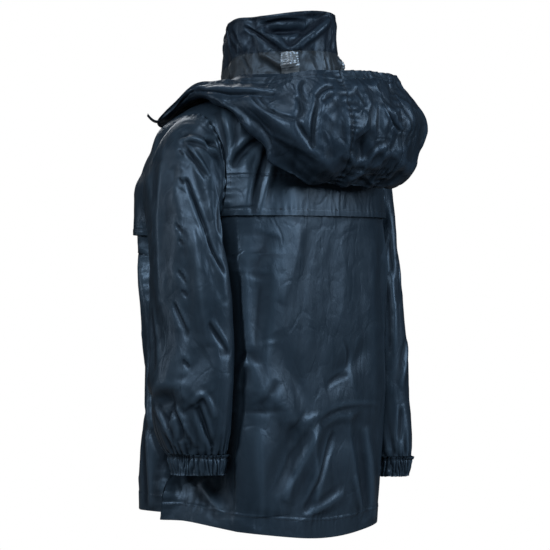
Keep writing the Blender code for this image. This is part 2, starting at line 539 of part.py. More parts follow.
# ---------------------------------------------------------------- the hood
def hood_controls(angle):
    """Five profile points at each hood angle: neck, inner, bottom, outer, edge."""
    size = np.abs(angle)
    at = column(HOOD, HOOD_COLUMNS, "angle")
    value = {name: through_rows(size, at, column(HOOD, HOOD_COLUMNS, name, MM))
             for name in HOOD_COLUMNS[1:]}
    turn = np.radians(angle)
    out = np.stack((np.sin(turn), np.cos(turn), np.zeros_like(turn)), axis=-1)
    up = np.array((0.0, 0.0, 1.0))

    def off_body(v, lift):
        """A point off the body; beside and in front it stays in the hood's own angle."""
        at_angle = angle.copy()
        for _ in range(HEIGHT_CORRECTIONS):
            point = smooth_body(at_angle, v)
            off = angle - np.degrees(np.arctan2(point[..., 0], point[..., 1]))
            at_angle = at_angle + off * smooth_step(HOOD_OWN_ANGLE_FROM, HOOD_OWN_ANGLE_FULL, size)
        normal = surface_normal(smooth_body, at_angle, v, ANGLE_STEP, HEIGHT_STEP)
        return smooth_body(at_angle, v) + normal * lift[..., None]

    neck_v = np.full_like(size, NECK_HEIGHT - HOOD_NECK_DROP)
    neck = off_body(neck_v, np.full_like(size, HOOD_NECK_LIFT)) + out * HOOD_NECK_OUT
    inner = off_body(value["inner_v"], value["inner_off"])
    bottom = off_body(value["bottom_v"], value["bottom_off"])
    outer = out * value["outer_r"][..., None] + up * value["outer_z"][..., None]
    edge = out * value["edge_r"][..., None] + up * value["edge_z"][..., None]
    return np.stack((neck, inner, bottom, outer, edge), axis=-2)


def hood(angle, along):
    """The hood's cloth; along runs 0 neck seam, 1 inner, 2 bottom, 3 outer, 4 face edge."""
    angle, along = np.broadcast_arrays(np.asarray(angle, float), np.asarray(along, float))
    points = hood_controls(angle)
    count = points.shape[-2]
    i = np.clip(np.floor(along).astype(int), 0, count - 2)
    s = (along - i)[..., None]

    def pick(index):
        index = np.clip(index, 0, count - 1)
        return np.take_along_axis(points, index[..., None, None], axis=-2)[..., 0, :]

    before, here, there, after = pick(i - 1), pick(i), pick(i + 1), pick(i + 2)
    slope_here, slope_there = (there - before) / 2, (after - here) / 2
    return (here * (1 + 2 * s) * (1 - s) ** 2 + slope_here * s * (1 - s) ** 2
            + there * s ** 2 * (3 - 2 * s) - slope_there * s ** 2 * (1 - s))


# ---------------------------------------------------------------- making objects
def cloth_material(name, colour, roughness=0.42, metallic=0.0):
    material = bpy.data.materials.new(name)
    material.use_nodes = True
    shader = material.node_tree.nodes["Principled BSDF"]
    shader.inputs["Base Color"].default_value = colour
    shader.inputs["Roughness"].default_value = roughness
    shader.inputs["Metallic"].default_value = metallic
    return material


def pull_in(points, gaps):
    """Move a sheet's edges in from their seam lines; gaps for top, bottom, first and last side."""
    top, bottom, first, last = gaps
    moved = points.copy()
    moved[0] += unit(points[1] - points[0]) * top
    moved[-1] += unit(points[-2] - points[-1]) * bottom
    moved[:, 0] += unit(points[:, 1] - points[:, 0]) * first
    moved[:, -1] += unit(points[:, -2] - points[:, -1]) * last
    return moved


def sheet(name, points, material, collection, thickness=CLOTH, closed=False):
    """An object from a grid of points whose rows run down and whose columns run back to front."""
    rows, columns = points.shape[:2]
    faces = []
    for r in range(rows - 1):
        for c in range(columns if closed else columns - 1):
            d = (c + 1) % columns
            faces.append((r * columns + c, r * columns + d,
                          (r + 1) * columns + d, (r + 1) * columns + c))
    mesh = bpy.data.meshes.new(name)
    mesh.from_pydata([tuple(p) for p in points.reshape(-1, 3)], [], faces)
    mesh.materials.append(material)
    mesh.shade_smooth()
    obj = bpy.data.objects.new(name, mesh)
    collection.objects.link(obj)
    solid = obj.modifiers.new("cloth", "SOLIDIFY")
    solid.thickness = thickness
    solid.offset = -1.0
    return obj


def body_sheet(name, angle, heights, lift, material, collection, gaps):
    """A stretch of the body tube: its column angles at each row, and how far it stands out."""
    v = np.repeat(heights[:, None], angle.shape[1], axis=1)
    points = pull_in(body(angle, v, np.broadcast_to(np.asarray(lift), angle.shape)), gaps)
    return sheet(name, points, material, collection)


def flap_lift(v, angle, seam):
    """A yoke lies in line above the seam under it and stands out below it.

    It stands out less near the armhole, where it is sewn in with the panel under it.
    """
    towards_front = np.abs(angle).max() > 2 * ARMHOLE_ANGLE
    from_edge = np.abs(np.abs(angle) - side_edge(v, towards_front)[:, None])
    height = FLAP_LIFT_AT_SEAM + (FLAP_LIFT - FLAP_LIFT_AT_SEAM) * smooth_step(
        0, FLAP_FREE_ANGLE, from_edge)
    return height * smooth_step(seam + FLAP_STARTS, seam + FLAP_FULL, v)[:, None]


def back_angles(v):
    return side_edge(v, False)[:, None] * np.linspace(-1, 1, BACK_COLUMNS)


# ---------------------------------------------------------------- sub-parts
def make_back(material, collection):
    heights = body_rows(YOKE_SEAM, HEM_HEIGHT)
    body_sheet("back_panel", back_angles(heights), heights, 0.0, material, collection,
               (SEAM_GAP,) * 4)


def make_back_yoke(material, collection):
    heights = body_rows(NECK_HEIGHT, YOKE_EDGE_BACK)
    angle = back_angles(heights)
    body_sheet("back_yoke", angle, heights, flap_lift(heights, angle, YOKE_SEAM),
               material, collection, (SEAM_GAP, 0.0, SEAM_GAP, SEAM_GAP))


def make_front(side, material, collection):
    heights = body_rows(FRONT_YOKE_SEAM, HEM_HEIGHT + FRONT_HEM_RISE)
    body_sheet("front_" + side, front_angles(heights, side), heights, 0.0, material,
               collection, (SEAM_GAP,) * 4)


def make_front_yoke(side, material, collection):
    heights = body_rows(NECK_HEIGHT, YOKE_EDGE_FRONT)
    angle = front_angles(heights, side)
    body_sheet("front_yoke_" + side, angle, heights,
               flap_lift(heights, angle, FRONT_YOKE_SEAM), material, collection,
               (SEAM_GAP, 0.0, SEAM_GAP, SEAM_GAP))


def storm_lift(v):
    share = smooth_step(YOKE_EDGE_FRONT - STORM_STEP, YOKE_EDGE_FRONT, v)
    return STORM_LIFT_LOW + (STORM_LIFT_HIGH - STORM_LIFT_LOW) * share


def storm_points(heights):
    """The storm flap's points below the neck: the fronts' own, moved out."""
    across = np.linspace(-1, 1, STORM_COLUMNS)[None, :]
    angle = 180 + across * storm_half_angle(heights)[:, None]
    v = np.repeat(heights[:, None], STORM_COLUMNS, axis=1)
    return body(angle, v, storm_lift(heights)[:, None])


def make_storm_flap(material, collection):
    """One strip over the closure, from the front hem up over the collar's ends."""
    low = storm_points(body_rows(NECK_HEIGHT - STORM_BEND, HEM_HEIGHT + FRONT_HEM_RISE))
    across = np.linspace(-1, 1, STORM_COLUMNS)[None, :]
    angle = 180 + across * storm_half_angle(np.array([NECK_HEIGHT]))
    rises = np.array(STORM_COLLAR_ROWS)[:, None]
    high = collar(angle, rises, lift=STORM_LIFT_HIGH - STORM_COLLAR_CLOSER)
    sheet("storm_flap", np.concatenate((high, low)), material, collection)


def make_studs(material, collection):
    """Press studs on the storm flap, each at the row nearest its height."""
    rows = body_rows(NECK_HEIGHT - STORM_BEND, HEM_HEIGHT + FRONT_HEM_RISE)
    for number, height in enumerate(STUD_HEIGHTS, start=1):
        v = rows[np.abs(rows - height * MM).argmin()]
        normal = surface_normal(smooth_body, np.array(180.0), v, ANGLE_STEP, HEIGHT_STEP)
        middle = storm_points(np.array([v]))[0, STORM_COLUMNS // 2]
        point = middle + normal * (SEAM_GAP + STUD_HEIGHT / 2)
        bpy.ops.mesh.primitive_cylinder_add(vertices=STUD_SIDES, radius=STUD_RADIUS,
                                            depth=STUD_HEIGHT, location=tuple(point))
        stud = bpy.context.object
        stud.name = stud.data.name = "stud_%d" % number
        stud.rotation_euler = (float(np.arccos(normal[2])), 0.0, 0.0)
        stud.data.materials.append(material)
        for group in list(stud.users_collection):
            group.objects.unlink(stud)
        collection.objects.link(stud)


def make_sleeve(side, material, collection):
    """Back and front half of a sleeve; the right one is the left one mirrored."""
    pose = SLEEVE_POSE[side]
    stations = np.array(SLEEVE_ROWS)
    off = (armhole_rows() - ARMHOLE_MID) / ARMHOLE_HALF_HEIGHT
    up = (np.degrees(np.arcsin(np.clip(off[::-1], -1, 1))) + 90) / 180
    halves = (("back", under_seam(stations), outer_seam(stations), up),
              ("front", outer_seam(stations), under_seam(stations) + 360, 1 - up[::-1]))
    inset = ARMHOLE_GAP * (1 - smooth_step(RISE_STATION, 1.0, stations))
    for half, first, last, share in halves:
        beta = first[:, None] + (last - first)[:, None] * share
        station = np.repeat(stations[:, None], len(share), axis=1)
        points = sleeve(beta, station, pose, np.repeat(inset[:, None], len(share), axis=1))
        points = pull_in(points, (0.0, SEAM_GAP, SLEEVE_SEAM_GAP, SLEEVE_SEAM_GAP))
        sheet("sleeve_%s_%s" % (side, half), on_side(points, side), material, collection)


def on_side(points, side):
    """Left points as they are; for the right, mirrored with their columns turned round."""
    if side == "left":
        return points
    return (points * np.array((-1.0, 1.0, 1.0)))[:, ::-1]


def make_cuff(side, material, collection):
    """The elastic cuff: a short ring gathered into even pleats."""
    pose = SLEEVE_POSE[side]
    count = CUFF_PLEATS * 3
    beta = np.arange(count) * 360.0 / count
    foot = sleeve_ellipse(beta, np.full(count, SLEEVE_END), pose)
    middle = foot.mean(axis=0)
    wave = PLEAT_HEIGHT * np.cos(np.arange(count) * 2 * np.pi / 3)
    rows = []
    for share, squeeze, height in CUFF_RINGS:
        ring = middle + (foot - middle) * squeeze
        ring = ring + unit(foot - middle) * (wave * height)[:, None]
        ring[:, 2] = foot[:, 2] - share * CUFF_DEPTH - SEAM_GAP
        rows.append(ring)
    sheet("cuff_" + side, on_side(np.array(rows), side), material, collection,
          thickness=CUFF_CLOTH, closed=True)


def make_collar(material_low, material_high, collection):
    for name, low, high, rows, material in (
            ("collar_lower", 0.0, COLLAR_BAND_SHARE, COLLAR_LOWER_ROWS, material_low),
            ("collar_upper", COLLAR_BAND_SHARE, 1.0, COLLAR_UPPER_ROWS, material_high)):
        angle = np.linspace(-COLLAR_FRONT_ANGLE, COLLAR_FRONT_ANGLE, COLLAR_COLUMNS)[None, :]
        rise = np.linspace(high, low, rows)[:, None]
        points = pull_in(collar(angle, rise), (SEAM_GAP if high < 1 else 0.0, SEAM_GAP, 0.0, 0.0))
        sheet(name, points, material, collection, thickness=COLLAR_CLOTH)


def hood_sheet(name, angle, along, material, collection, gaps):
    points = pull_in(hood(np.asarray(angle)[None, :], np.asarray(along)[:, None]), gaps)
    return sheet(name, points, material, collection, thickness=HOOD_CLOTH)


def make_hood(material_side, material_centre, collection):
    seam = HOOD_SEAM_ANGLE
    along = np.array(HOOD_ROWS)
    side_angle = np.concatenate(([seam], HOOD_SIDE_COLUMNS))
    gaps = (0.0, 0.0, SEAM_GAP, SEAM_GAP)
    hood_sheet("hood_side_left", side_angle, along, material_side, collection, gaps)
    hood_sheet("hood_side_right", -side_angle[::-1], along, material_side, collection, gaps)
    centre_angle = np.linspace(-seam, seam, HOOD_CENTRE_COLUMNS)
    upper = np.linspace(HOOD_BAND, HOOD_CROSS_SEAM, HOOD_CENTRE_ROWS)
    lower = np.linspace(HOOD_CROSS_SEAM, 0, HOOD_LOWER_ROWS)
    hood_sheet("hood_centre", centre_angle, upper, material_centre, collection,
               (SEAM_GAP,) * 4)
    hood_sheet("hood_centre_lower", centre_angle, lower, material_centre, collection,
               (SEAM_GAP, 0.0, SEAM_GAP, SEAM_GAP))


def make_hood_elastic(material, collection):
    """The gathered casing at the middle of the face edge."""
    count = HOOD_PLEATS * 3 + 1
    angle = np.linspace(-HOOD_SEAM_ANGLE, HOOD_SEAM_ANGLE, count)[None, :]
    along = np.linspace(HOOD_ROWS[0], HOOD_BAND, len(HOOD_PLEAT_ROWS))[:, None]
    points = hood(angle, along)
    turn = np.radians(angle)
    out = np.stack((np.sin(turn), np.cos(turn), np.zeros_like(turn)), axis=-1)
    ends = np.sin(np.pi * np.linspace(0, 1, count)) ** 0.5
    wave = (np.cos(np.arange(count) * 2 * np.pi / 3) * ends)[None, :]
    fade = np.array(HOOD_PLEAT_ROWS)[:, None]
    points = points + out * (HOOD_PLEAT_HEIGHT * wave * fade)[..., None]
    sheet("hood_edge_elastic", pull_in(points, (0.0, SEAM_GAP, SEAM_GAP, SEAM_GAP)),
          material, collection, thickness=CUFF_CLOTH)


def make_hood_tape(side, material, collection):
    """A narrow tape end, sewn on the hood's front corner, that stands out past its edge."""
    sign = 1 if side == "left" else -1
    angle = np.array(TAPE_ANGLE * sign)
    root, edge = hood(angle, np.array(TAPE_ROOT)), hood(angle, np.array(HOOD_ROWS[0]))
    out = unit(edge - root)
    across = unit(hood(angle + sign, np.array(TAPE_ROOT)) - root)
    up = unit(np.cross(out, across)) * sign
    across = np.cross(up, out) * sign
    sewn = np.linalg.norm(edge - root) / TAPE_LENGTH
    rows = []
    for share in np.linspace(0, 1, TAPE_ROWS):
        droop = TAPE_DROOP * TAPE_LENGTH * max(share - sewn, 0.0) ** 2
        centre = root + up * (TAPE_LIFT - droop) + out * TAPE_LENGTH * share
        rows.append((centre - across * TAPE_WIDTH / 2, centre + across * TAPE_WIDTH / 2))
    points = np.array(rows)
    if side == "right":
        points = points[:, ::-1]
    sheet("hood_tape_" + side, points, material, collection, thickness=TAPE_CLOTH)


def build():
    for obj in list(bpy.data.objects):
        bpy.data.objects.remove(obj, do_unlink=True)
    coat = bpy.data.collections.new("raincoat")
    bpy.context.scene.collection.children.link(coat)
    navy = cloth_material("navy_cloth", NAVY)
    light = cloth_material("hood_cloth", NAVY_LIGHT)
    grey = cloth_material("coated_grey", COATED_GREY, roughness=0.35)
    tape = cloth_material("tape", TAPE_BLACK, roughness=0.6)
    stud = cloth_material("stud", STUD_GREY, roughness=0.35)
    make_back(navy, coat)
    make_back_yoke(navy, coat)
    for side in ("left", "right"):
        make_front(side, navy, coat)
        make_front_yoke(side, navy, coat)
        make_sleeve(side, navy, coat)
        make_cuff(side, navy, coat)
        make_hood_tape(side, tape, coat)
    make_storm_flap(navy, coat)
    make_studs(stud, coat)
    make_collar(grey, navy, coat)
    make_hood(light, light, coat)
    make_hood_elastic(navy, coat)


build()
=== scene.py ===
# %% [markdown]
# # A child's hooded raincoat
# The coat is coated nylon: thin, a little stiff, with soft gloss on every crease. It is shown
# filled out as on a child, with nobody in it. Each cut and sewn piece is one surface, worked out with
# numpy from two numbers, and every fold is a height added along that surface's normal. Placing
# the folds one by one keeps each one where a real coat has a reason for it; a cloth simulation
# would put them anywhere.

import bpy
import numpy as np
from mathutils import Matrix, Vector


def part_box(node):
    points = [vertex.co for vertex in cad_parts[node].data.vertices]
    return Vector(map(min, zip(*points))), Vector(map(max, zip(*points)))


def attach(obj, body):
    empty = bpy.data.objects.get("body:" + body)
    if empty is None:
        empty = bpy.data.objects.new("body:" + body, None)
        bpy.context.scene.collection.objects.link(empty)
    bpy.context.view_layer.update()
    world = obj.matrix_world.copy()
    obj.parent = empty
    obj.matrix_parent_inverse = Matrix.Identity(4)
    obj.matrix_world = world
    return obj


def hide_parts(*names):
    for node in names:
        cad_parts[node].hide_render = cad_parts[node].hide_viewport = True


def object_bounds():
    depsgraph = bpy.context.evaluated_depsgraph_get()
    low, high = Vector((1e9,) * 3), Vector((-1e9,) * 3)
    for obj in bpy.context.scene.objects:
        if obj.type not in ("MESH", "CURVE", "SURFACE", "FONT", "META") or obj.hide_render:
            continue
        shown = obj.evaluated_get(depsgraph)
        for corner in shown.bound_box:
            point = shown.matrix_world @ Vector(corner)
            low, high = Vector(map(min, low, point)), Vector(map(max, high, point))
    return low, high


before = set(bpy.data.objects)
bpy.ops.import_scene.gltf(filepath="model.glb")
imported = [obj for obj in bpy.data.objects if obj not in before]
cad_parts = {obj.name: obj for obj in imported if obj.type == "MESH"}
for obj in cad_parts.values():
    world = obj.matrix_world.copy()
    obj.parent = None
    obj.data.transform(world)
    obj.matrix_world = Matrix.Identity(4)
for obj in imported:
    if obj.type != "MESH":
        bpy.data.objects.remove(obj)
MM = 0.001
SIDES = ("left", "right")


def plain_box(box):
    """A box as plain lists of numbers."""
    return [[float(value) for value in corner] for corner in box]


cad_box = plain_box(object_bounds())
print("CAD box:", cad_box)

# %% [markdown]
# ## Camera, floor and light
# A long lens stands far off at the height of the coat's middle, behind its left shoulder. The
# floor is pale and fades into the white surroundings, so it has no edge. Large soft lamps give
# coated nylon the broad highlights it has in a studio, and the surroundings stay dim for the
# cloth itself, or the dark cloth would turn milky.

# %% Camera
CAMERA_AZIMUTH, CAMERA_DISTANCE, CAMERA_HEIGHT = 132.0, 4.0, -0.2556
PIXEL_AT_COAT = 1.3 * MM          # the picture's scale at the coat's middle
PICTURE = 550
SENSOR = 36.0
SHIFT = -6.0 / PICTURE            # the coat's middle stands a little right of the picture's


def add_object(name, data):
    """A new object at the origin, in the scene."""
    made = bpy.data.objects.new(name, data)
    bpy.context.scene.collection.objects.link(made)
    return made


def place_at(azimuth, rise, distance):
    """The place at a distance from the coat's middle, by azimuth and elevation in radians."""
    flat = distance * np.cos(rise)
    return (flat * np.sin(azimuth), -flat * np.cos(azimuth), CAMERA_HEIGHT + distance * np.sin(rise))


def add_camera():
    turn = np.radians(CAMERA_AZIMUTH)
    data = bpy.data.cameras.new("camera")
    data.sensor_width = SENSOR
    data.lens = CAMERA_DISTANCE / (PIXEL_AT_COAT * PICTURE) * data.sensor_width
    data.shift_x = SHIFT
    camera = add_object("camera", data)
    camera.location = place_at(turn, 0.0, CAMERA_DISTANCE)
    camera.rotation_euler = (np.pi / 2, 0.0, turn)
    bpy.context.scene.camera = camera
    print("lens", round(data.lens, 1), "mm")


add_camera()

# %% Node helpers
def filled(tree, made, **inputs):
    """A node with some of its sockets filled by name; a socket takes a value or a link."""
    for name, value in inputs.items():
        fill(tree, made.inputs[name.replace("_", " ")], value)
    return made


def fill(tree, socket, value):
    if isinstance(value, bpy.types.NodeSocket):
        tree.links.new(value, socket)
    else:
        socket.default_value = value


def node(tree, kind, **inputs):
    return filled(tree, tree.nodes.new(kind), **inputs)


def calc(tree, operation, *values, kind="Math", result="Value"):
    """The result of a math node whose sockets are filled in order."""
    made = tree.nodes.new("ShaderNode" + kind)
    made.operation = operation
    for socket, value in zip(made.inputs, values):
        fill(tree, socket, value)
    return made.outputs[result]


def spread(tree, value, from_min, from_max, to_min=0.0, to_max=1.0):
    """A value carried from one range to another and held at its ends."""
    return node(tree, "ShaderNodeMapRange", Value=value, From_Min=from_min, From_Max=from_max,
                To_Min=to_min, To_Max=to_max).outputs["Result"]


def two_tones(tree, share, dark, light):
    """A colour between two, by a share from 0 to 1."""
    ramp = node(tree, "ShaderNodeValToRGB", Fac=share)
    for element, colour in zip(ramp.color_ramp.elements, (dark, light)):
        element.color = (*colour, 1.0)
    return ramp.outputs["Color"]


def noise(tree, place, scale, detail, result="Fac"):
    return node(tree, "ShaderNodeTexNoise", Vector=place, Scale=scale, Detail=detail).outputs[result]


def bump(tree, height, strength, distance, **under):
    """The normal of a bump, over another bump's if one is given as Normal."""
    return node(tree, "ShaderNodeBump", Height=height, Strength=strength, Distance=distance,
                **under).outputs["Normal"]


def mix_into(end, tree, share, first, second):
    """Mix two shaders by a share, into the surface of the tree's last node."""
    mix = node(tree, "ShaderNodeMixShader", Fac=share)
    for socket, shader in zip(mix.inputs[1:], (first, second)):
        tree.links.new(shader.outputs[0], socket)
    tree.links.new(mix.outputs[0], tree.nodes[end].inputs["Surface"])


def new_material(name):
    material = bpy.data.materials.new(name)
    material.use_nodes = True
    return material, material.node_tree, material.node_tree.nodes["Principled BSDF"]

# %% Floor and surroundings
FLOOR_GAP = 0.060                 # the coat hangs this far above the floor
FLOOR_RADIUS, FLOOR_CORNERS = 14.0, 64
FLOOR_AS_LIGHT, FLOOR_AS_SEEN = (0.07, 0.07, 0.07), (0.86, 0.87, 0.88)
FADE_FROM, FADE_TO = 0.16, 0.32   # distances over which the floor turns to white light
WHITE = (1.0, 1.0, 1.0, 1.0)


def add_floor():
    """A disc under the coat: pale and shadowed near it, plain white light further out."""
    turn = np.linspace(0, 2 * np.pi, FLOOR_CORNERS + 1)[:-1]
    height = cad_box[0][2] - FLOOR_GAP
    rim = np.stack((FLOOR_RADIUS * np.cos(turn), FLOOR_RADIUS * np.sin(turn),
                    np.full_like(turn, height)), axis=-1)
    mesh = bpy.data.meshes.new("floor")
    mesh.from_pydata(rim.tolist(), [], [tuple(range(len(rim)))])
    floor = add_object("floor", mesh)
    material, tree, shader = new_material("pale_floor")
    camera_ray = node(tree, "ShaderNodeLightPath").outputs["Is Camera Ray"]
    filled(tree, shader, Roughness=0.6,
           Base_Color=two_tones(tree, camera_ray, FLOOR_AS_LIGHT, FLOOR_AS_SEEN))
    place = node(tree, "ShaderNodeTexCoord").outputs["Object"]
    flat = calc(tree, "MULTIPLY", place, (1.0, 1.0, 0.0), kind="VectorMath", result="Vector")
    fade = spread(tree, calc(tree, "LENGTH", flat, kind="VectorMath"), FADE_FROM, FADE_TO)
    fade.node.interpolation_type = "SMOOTHSTEP"
    glow = node(tree, "ShaderNodeEmission", Color=WHITE, Strength=1.0)
    mix_into("Material Output", tree, calc(tree, "MULTIPLY", fade, camera_ray), shader, glow)
    mesh.materials.append(material)


def add_surroundings(seen, light):
    """White where the camera looks past the coat, dim grey as light on it."""
    world = bpy.data.worlds.new("studio")
    bpy.context.scene.world = world
    world.use_nodes = True
    tree = world.node_tree
    plain, white = (node(tree, "ShaderNodeBackground", Color=WHITE, Strength=strength)
                    for strength in (light, seen))
    camera_ray = node(tree, "ShaderNodeLightPath").outputs["Is Camera Ray"]
    mix_into("World Output", tree, camera_ray, plain, white)


add_floor()
add_surroundings(seen=1.0, light=0.02)
bpy.context.scene.view_settings.view_transform = "Standard"

# %% Lamps
DAYLIGHT, SKYLIGHT = (0.94, 0.97, 1.0), (0.80, 0.91, 1.0)
LAMPS = (    # name, azimuth, elevation, distance, width, height, watts, colour
    ("lamp_overhead", 124.0, 70.0, 2.4, 1.0, 0.6, 17.0, DAYLIGHT),
    ("lamp_key", 126.0, 27.0, 2.8, 1.4, 0.6, 50.0, DAYLIGHT),
    ("lamp_side", 88.0, 24.0, 2.8, 0.7, 0.9, 26.0, DAYLIGHT),
    ("lamp_left", 44.0, 12.0, 2.8, 0.4, 1.8, 9.0, DAYLIGHT),
    ("lamp_right", 208.0, 19.0, 2.8, 1.9, 1.3, 58.0, SKYLIGHT),
    ("lamp_front", 330.0, 35.0, 2.8, 1.4, 1.6, 28.0, DAYLIGHT),
)


def add_lamp(name, azimuth, elevation, distance, width, height, watts, colour):
    """A soft box that faces the coat's middle from an azimuth and elevation."""
    turn, rise = np.radians(azimuth), np.radians(elevation)
    data = bpy.data.lights.new(name, "AREA")
    data.shape, data.color = "RECTANGLE", colour
    data.size, data.size_y, data.energy = width, height, watts
    lamp = add_object(name, data)
    lamp.location = place_at(turn, rise, distance)
    lamp.rotation_euler = (np.pi / 2 - rise, 0.0, turn)
    lamp.visible_camera = False


for row in LAMPS:
    add_lamp(*row)
print(len(LAMPS), "lamps")


# %% [markdown]
# ## The coat's own measurements
# The frame was built from these same tables, so a sheet made here lies exactly in the space of
# its solid. Lengths in the tables are millimetres; angles are degrees round the wearer from
# centre back, the left side positive.

# %% Small helpers
def column(table, names, name, scale=1.0):
    """One named column of a table as an array, in the table's order."""
    return np.array([row[names.index(name)] for row in table]) * scale


def through_rows(where, stops, values):
    """A smooth curve through (stops, values): cubic pieces with central-difference slopes."""
    order = np.argsort(stops)
    stops, values = np.asarray(stops)[order], np.asarray(values)[order]
    slopes = np.gradient(values, stops)
    where = np.clip(where, stops[0], stops[-1])
    i = np.clip(np.searchsorted(stops, where) - 1, 0, len(stops) - 2)
    span = stops[i + 1] - stops[i]
    s = (where - stops[i]) / span
    return (values[i] * (1 + 2 * s) * (1 - s) ** 2 + slopes[i] * span * s * (1 - s) ** 2
            + values[i + 1] * s ** 2 * (3 - 2 * s) - slopes[i + 1] * span * s ** 2 * (1 - s))


def smooth_step(low, high, value):
    """0 below low, 1 above high, an S-shaped rise between."""
    s = np.clip((value - low) / (high - low), 0.0, 1.0)
    return s * s * (3 - 2 * s)


def unit(vectors):
    return vectors / np.maximum(np.linalg.norm(vectors, axis=-1, keepdims=True), 1e-12)


def surface_normal(surface, u, v, step_u, step_v):
    """Outward normal of a surface(u, v) whose v grows upward and u runs back, left, front."""
    along_u = surface(u + step_u, v) - surface(u - step_u, v)
    along_v = surface(u, v - step_v) - surface(u, v + step_v)
    return unit(np.cross(along_u, along_v))


# %% Body tube: its rings from neck to hem
ANGLE_STEP, HEIGHT_STEP, STATION_STEP = 0.5, 0.5 * MM, 0.02   # steps that give a wall's slope
RING_COLUMNS = ("side_z", "back_z", "front_z", "half_width", "back_y", "front_y", "squareness")
RINGS = (
    (0, 0, -35, 73, 76, -72, 2.00),          # neck seam
    (-14, -9, -46, 92, 78, -82, 2.10),
    (-32, -24, -62, 118, 79, -97, 2.25),
    (-56, -48, -84, 149, 80, -122, 2.65),    # shoulder point
    (-95, -90, -116, 157, 81, -141, 2.95),
    (-145, -143, -155, 165, 83, -150, 3.10),  # middle of the armhole
    (-230, -230, -232, 171, 84, -148, 3.30),  # underarm
    (-300, -302, -300, 170, 85, -138, 3.30),
    (-380, -384, -380, 169, 84, -131, 3.30),
    (-435, -444, -434, 166, 82, -135, 3.30),
    (-500, -514, -498, 162, 80, -146, 3.30),
    (-568, -593, -567, 159, 77, -152, 3.20),  # hem
)
LEVEL_POWER = 1.35               # how soon a ring reaches its back and front heights

# The hanging arm pushes the body's side in.
ARM_CLEAR = 5.0 * MM
ARM_CLEAR_ROUND = 12.0 * MM       # how softly the pushed-in stretch begins
ARM_PUSH_FROM, ARM_PUSH_FULL = -140.0 * MM, -236.0 * MM
ARM_PUSH_END, ARM_PUSH_GONE = -500.0 * MM, -585.0 * MM
ARM_PUSH_LEFT_AT_HEM = 0.3      # share of the push that is left below the cuff
PUSH_WIDER_HIGH, PUSH_WIDER_LOW = 1.35, 1.15
ARM_PUSH_TILT_END = -300.0 * MM
PUSH_OPENS = 1.5                 # how fast the pushed-in stretch opens out past the sleeve
ARMHOLE_ANGLE = 85.0
ARMHOLE_HALF_ANGLE = 22.0
ARMHOLE_MID = -143.0 * MM
ARMHOLE_HALF_HEIGHT = 87.0 * MM
NECK_HEIGHT = 0.0
HEM_HEIGHT = -568.0 * MM
FRONT_HEM_RISE = 10.0 * MM       # the front hem stops this far above the back one at the side
SIDE_SEAM_AT_HEM = 100.0         # degrees; the side seam runs forward on its way down
YOKE_SEAM = -133.0 * MM          # where the back body is sewn on, under the yoke
YOKE_EDGE_BACK = -181.0 * MM
YOKE_EDGE_FRONT = -203.0 * MM
FRONT_YOKE_SEAM = -150.0 * MM

# %% Large folds, the same as in the solids
FOLD_COLUMNS = ("angle_from", "run_from", "angle_to", "run_to", "width", "depth")
BODY_FOLDS = (
    (40, -90, 48, -225, 15, 5),
    (57, -170, 50, -340, 15, 6),
    (-52, -150, -48, -320, 16, 4),
    (46, -330, 20, -430, 15, 3.5),
    (5, -395, -40, -345, 14, 3),
    (-26, -430, -38, -560, 13, 4),
    (30, -440, 52, -560, 15, 4),
    (128, -150, 122, -330, 16, 5),
    (-128, -170, -124, -350, 16, 5),
    (150, -330, 128, -520, 16, 4),
    (-146, -300, -130, -500, 16, 4),
)
BODY_FOLD_RADIUS = 0.13          # metres along the cloth for one radian of angle


def fold_depth(u, v, folds):
    """Depth of soft folds at cloth positions (u, v): each a round trough that fades at its ends."""
    total = np.zeros(np.broadcast(u, v).shape)
    for u0, v0, u1, v1, width, depth in folds:
        along = np.array((u1 - u0, v1 - v0))
        length = np.hypot(*along)
        s = ((u - u0) * along[0] + (v - v0) * along[1]) / length ** 2
        across = ((u - u0) * along[1] - (v - v0) * along[0]) / length
        inside = np.clip(s, 0.0, 1.0)
        ends = np.exp(-((s - inside) * length / width) ** 2)
        total += depth * np.exp(-(across / width) ** 2) * ends * np.sin(np.pi * inside) ** 0.5
    return total


def fold_rows(table, angle_scale, run_scale):
    """A table of folds in metres along the cloth."""
    scales = (angle_scale, run_scale, angle_scale, run_scale, MM, MM)
    return list(zip(*(column(table, FOLD_COLUMNS, name, scale)
                      for name, scale in zip(FOLD_COLUMNS, scales))))


# %% Sleeve stations from armhole to cuff
SLEEVE_COLUMNS = ("station", "over_x", "over_z", "under_x", "under_z", "half_depth", "mid_y")
SLEEVE = (
    (0, 149, -56, 139, -230, 61.5, -20),        # replaced by the armhole itself
    (1, 172, -72, 142, -238, 60, -17),
    (2, 192, -105, 139, -252, 59, -12),
    (3, 202, -155, 133, -276, 60, -7),
    (4, 206, -230, 129, -318, 62, -3),
    (5, 206, -310, 125, -362, 63, -3),
    (6, 206, -390, 126, -412, 62, -3),
    (7, 202, -446, 128, -452, 56, -2),
    (8, 191, -480, 130, -480, 44, 0),         # top of the cuff
)
SLEEVE_END = 8.0
OUTER_SEAM_SWING, UNDER_SEAM_SWING = 22.0, 10.0   # degrees the seams swing back by the elbow
SLEEVE_OFF_YOKE, SLEEVE_OFF_BODY = 6.5 * MM, 3.5 * MM
SLEEVE_RISE = 5.5 * MM           # the sleeve stands straight out of the armhole this far
RISE_STATION = 0.25              # at this station
ARMHOLE_BLEND = 4.0              # station at which the armhole's own shape has faded out
YOKE_BLEND = 2.5                 # station below which the sleeve may come nearer to the body
SLEEVE_POSE = {"left": {"sign": 1, "drop": 0.0, "out": 0.0, "back": 0.0, "elbow": 0.0},
               "right": {"sign": -1, "drop": 16.0 * MM, "out": 14.0 * MM, "back": 24.0 * MM,
                         "elbow": 6.0 * MM}}
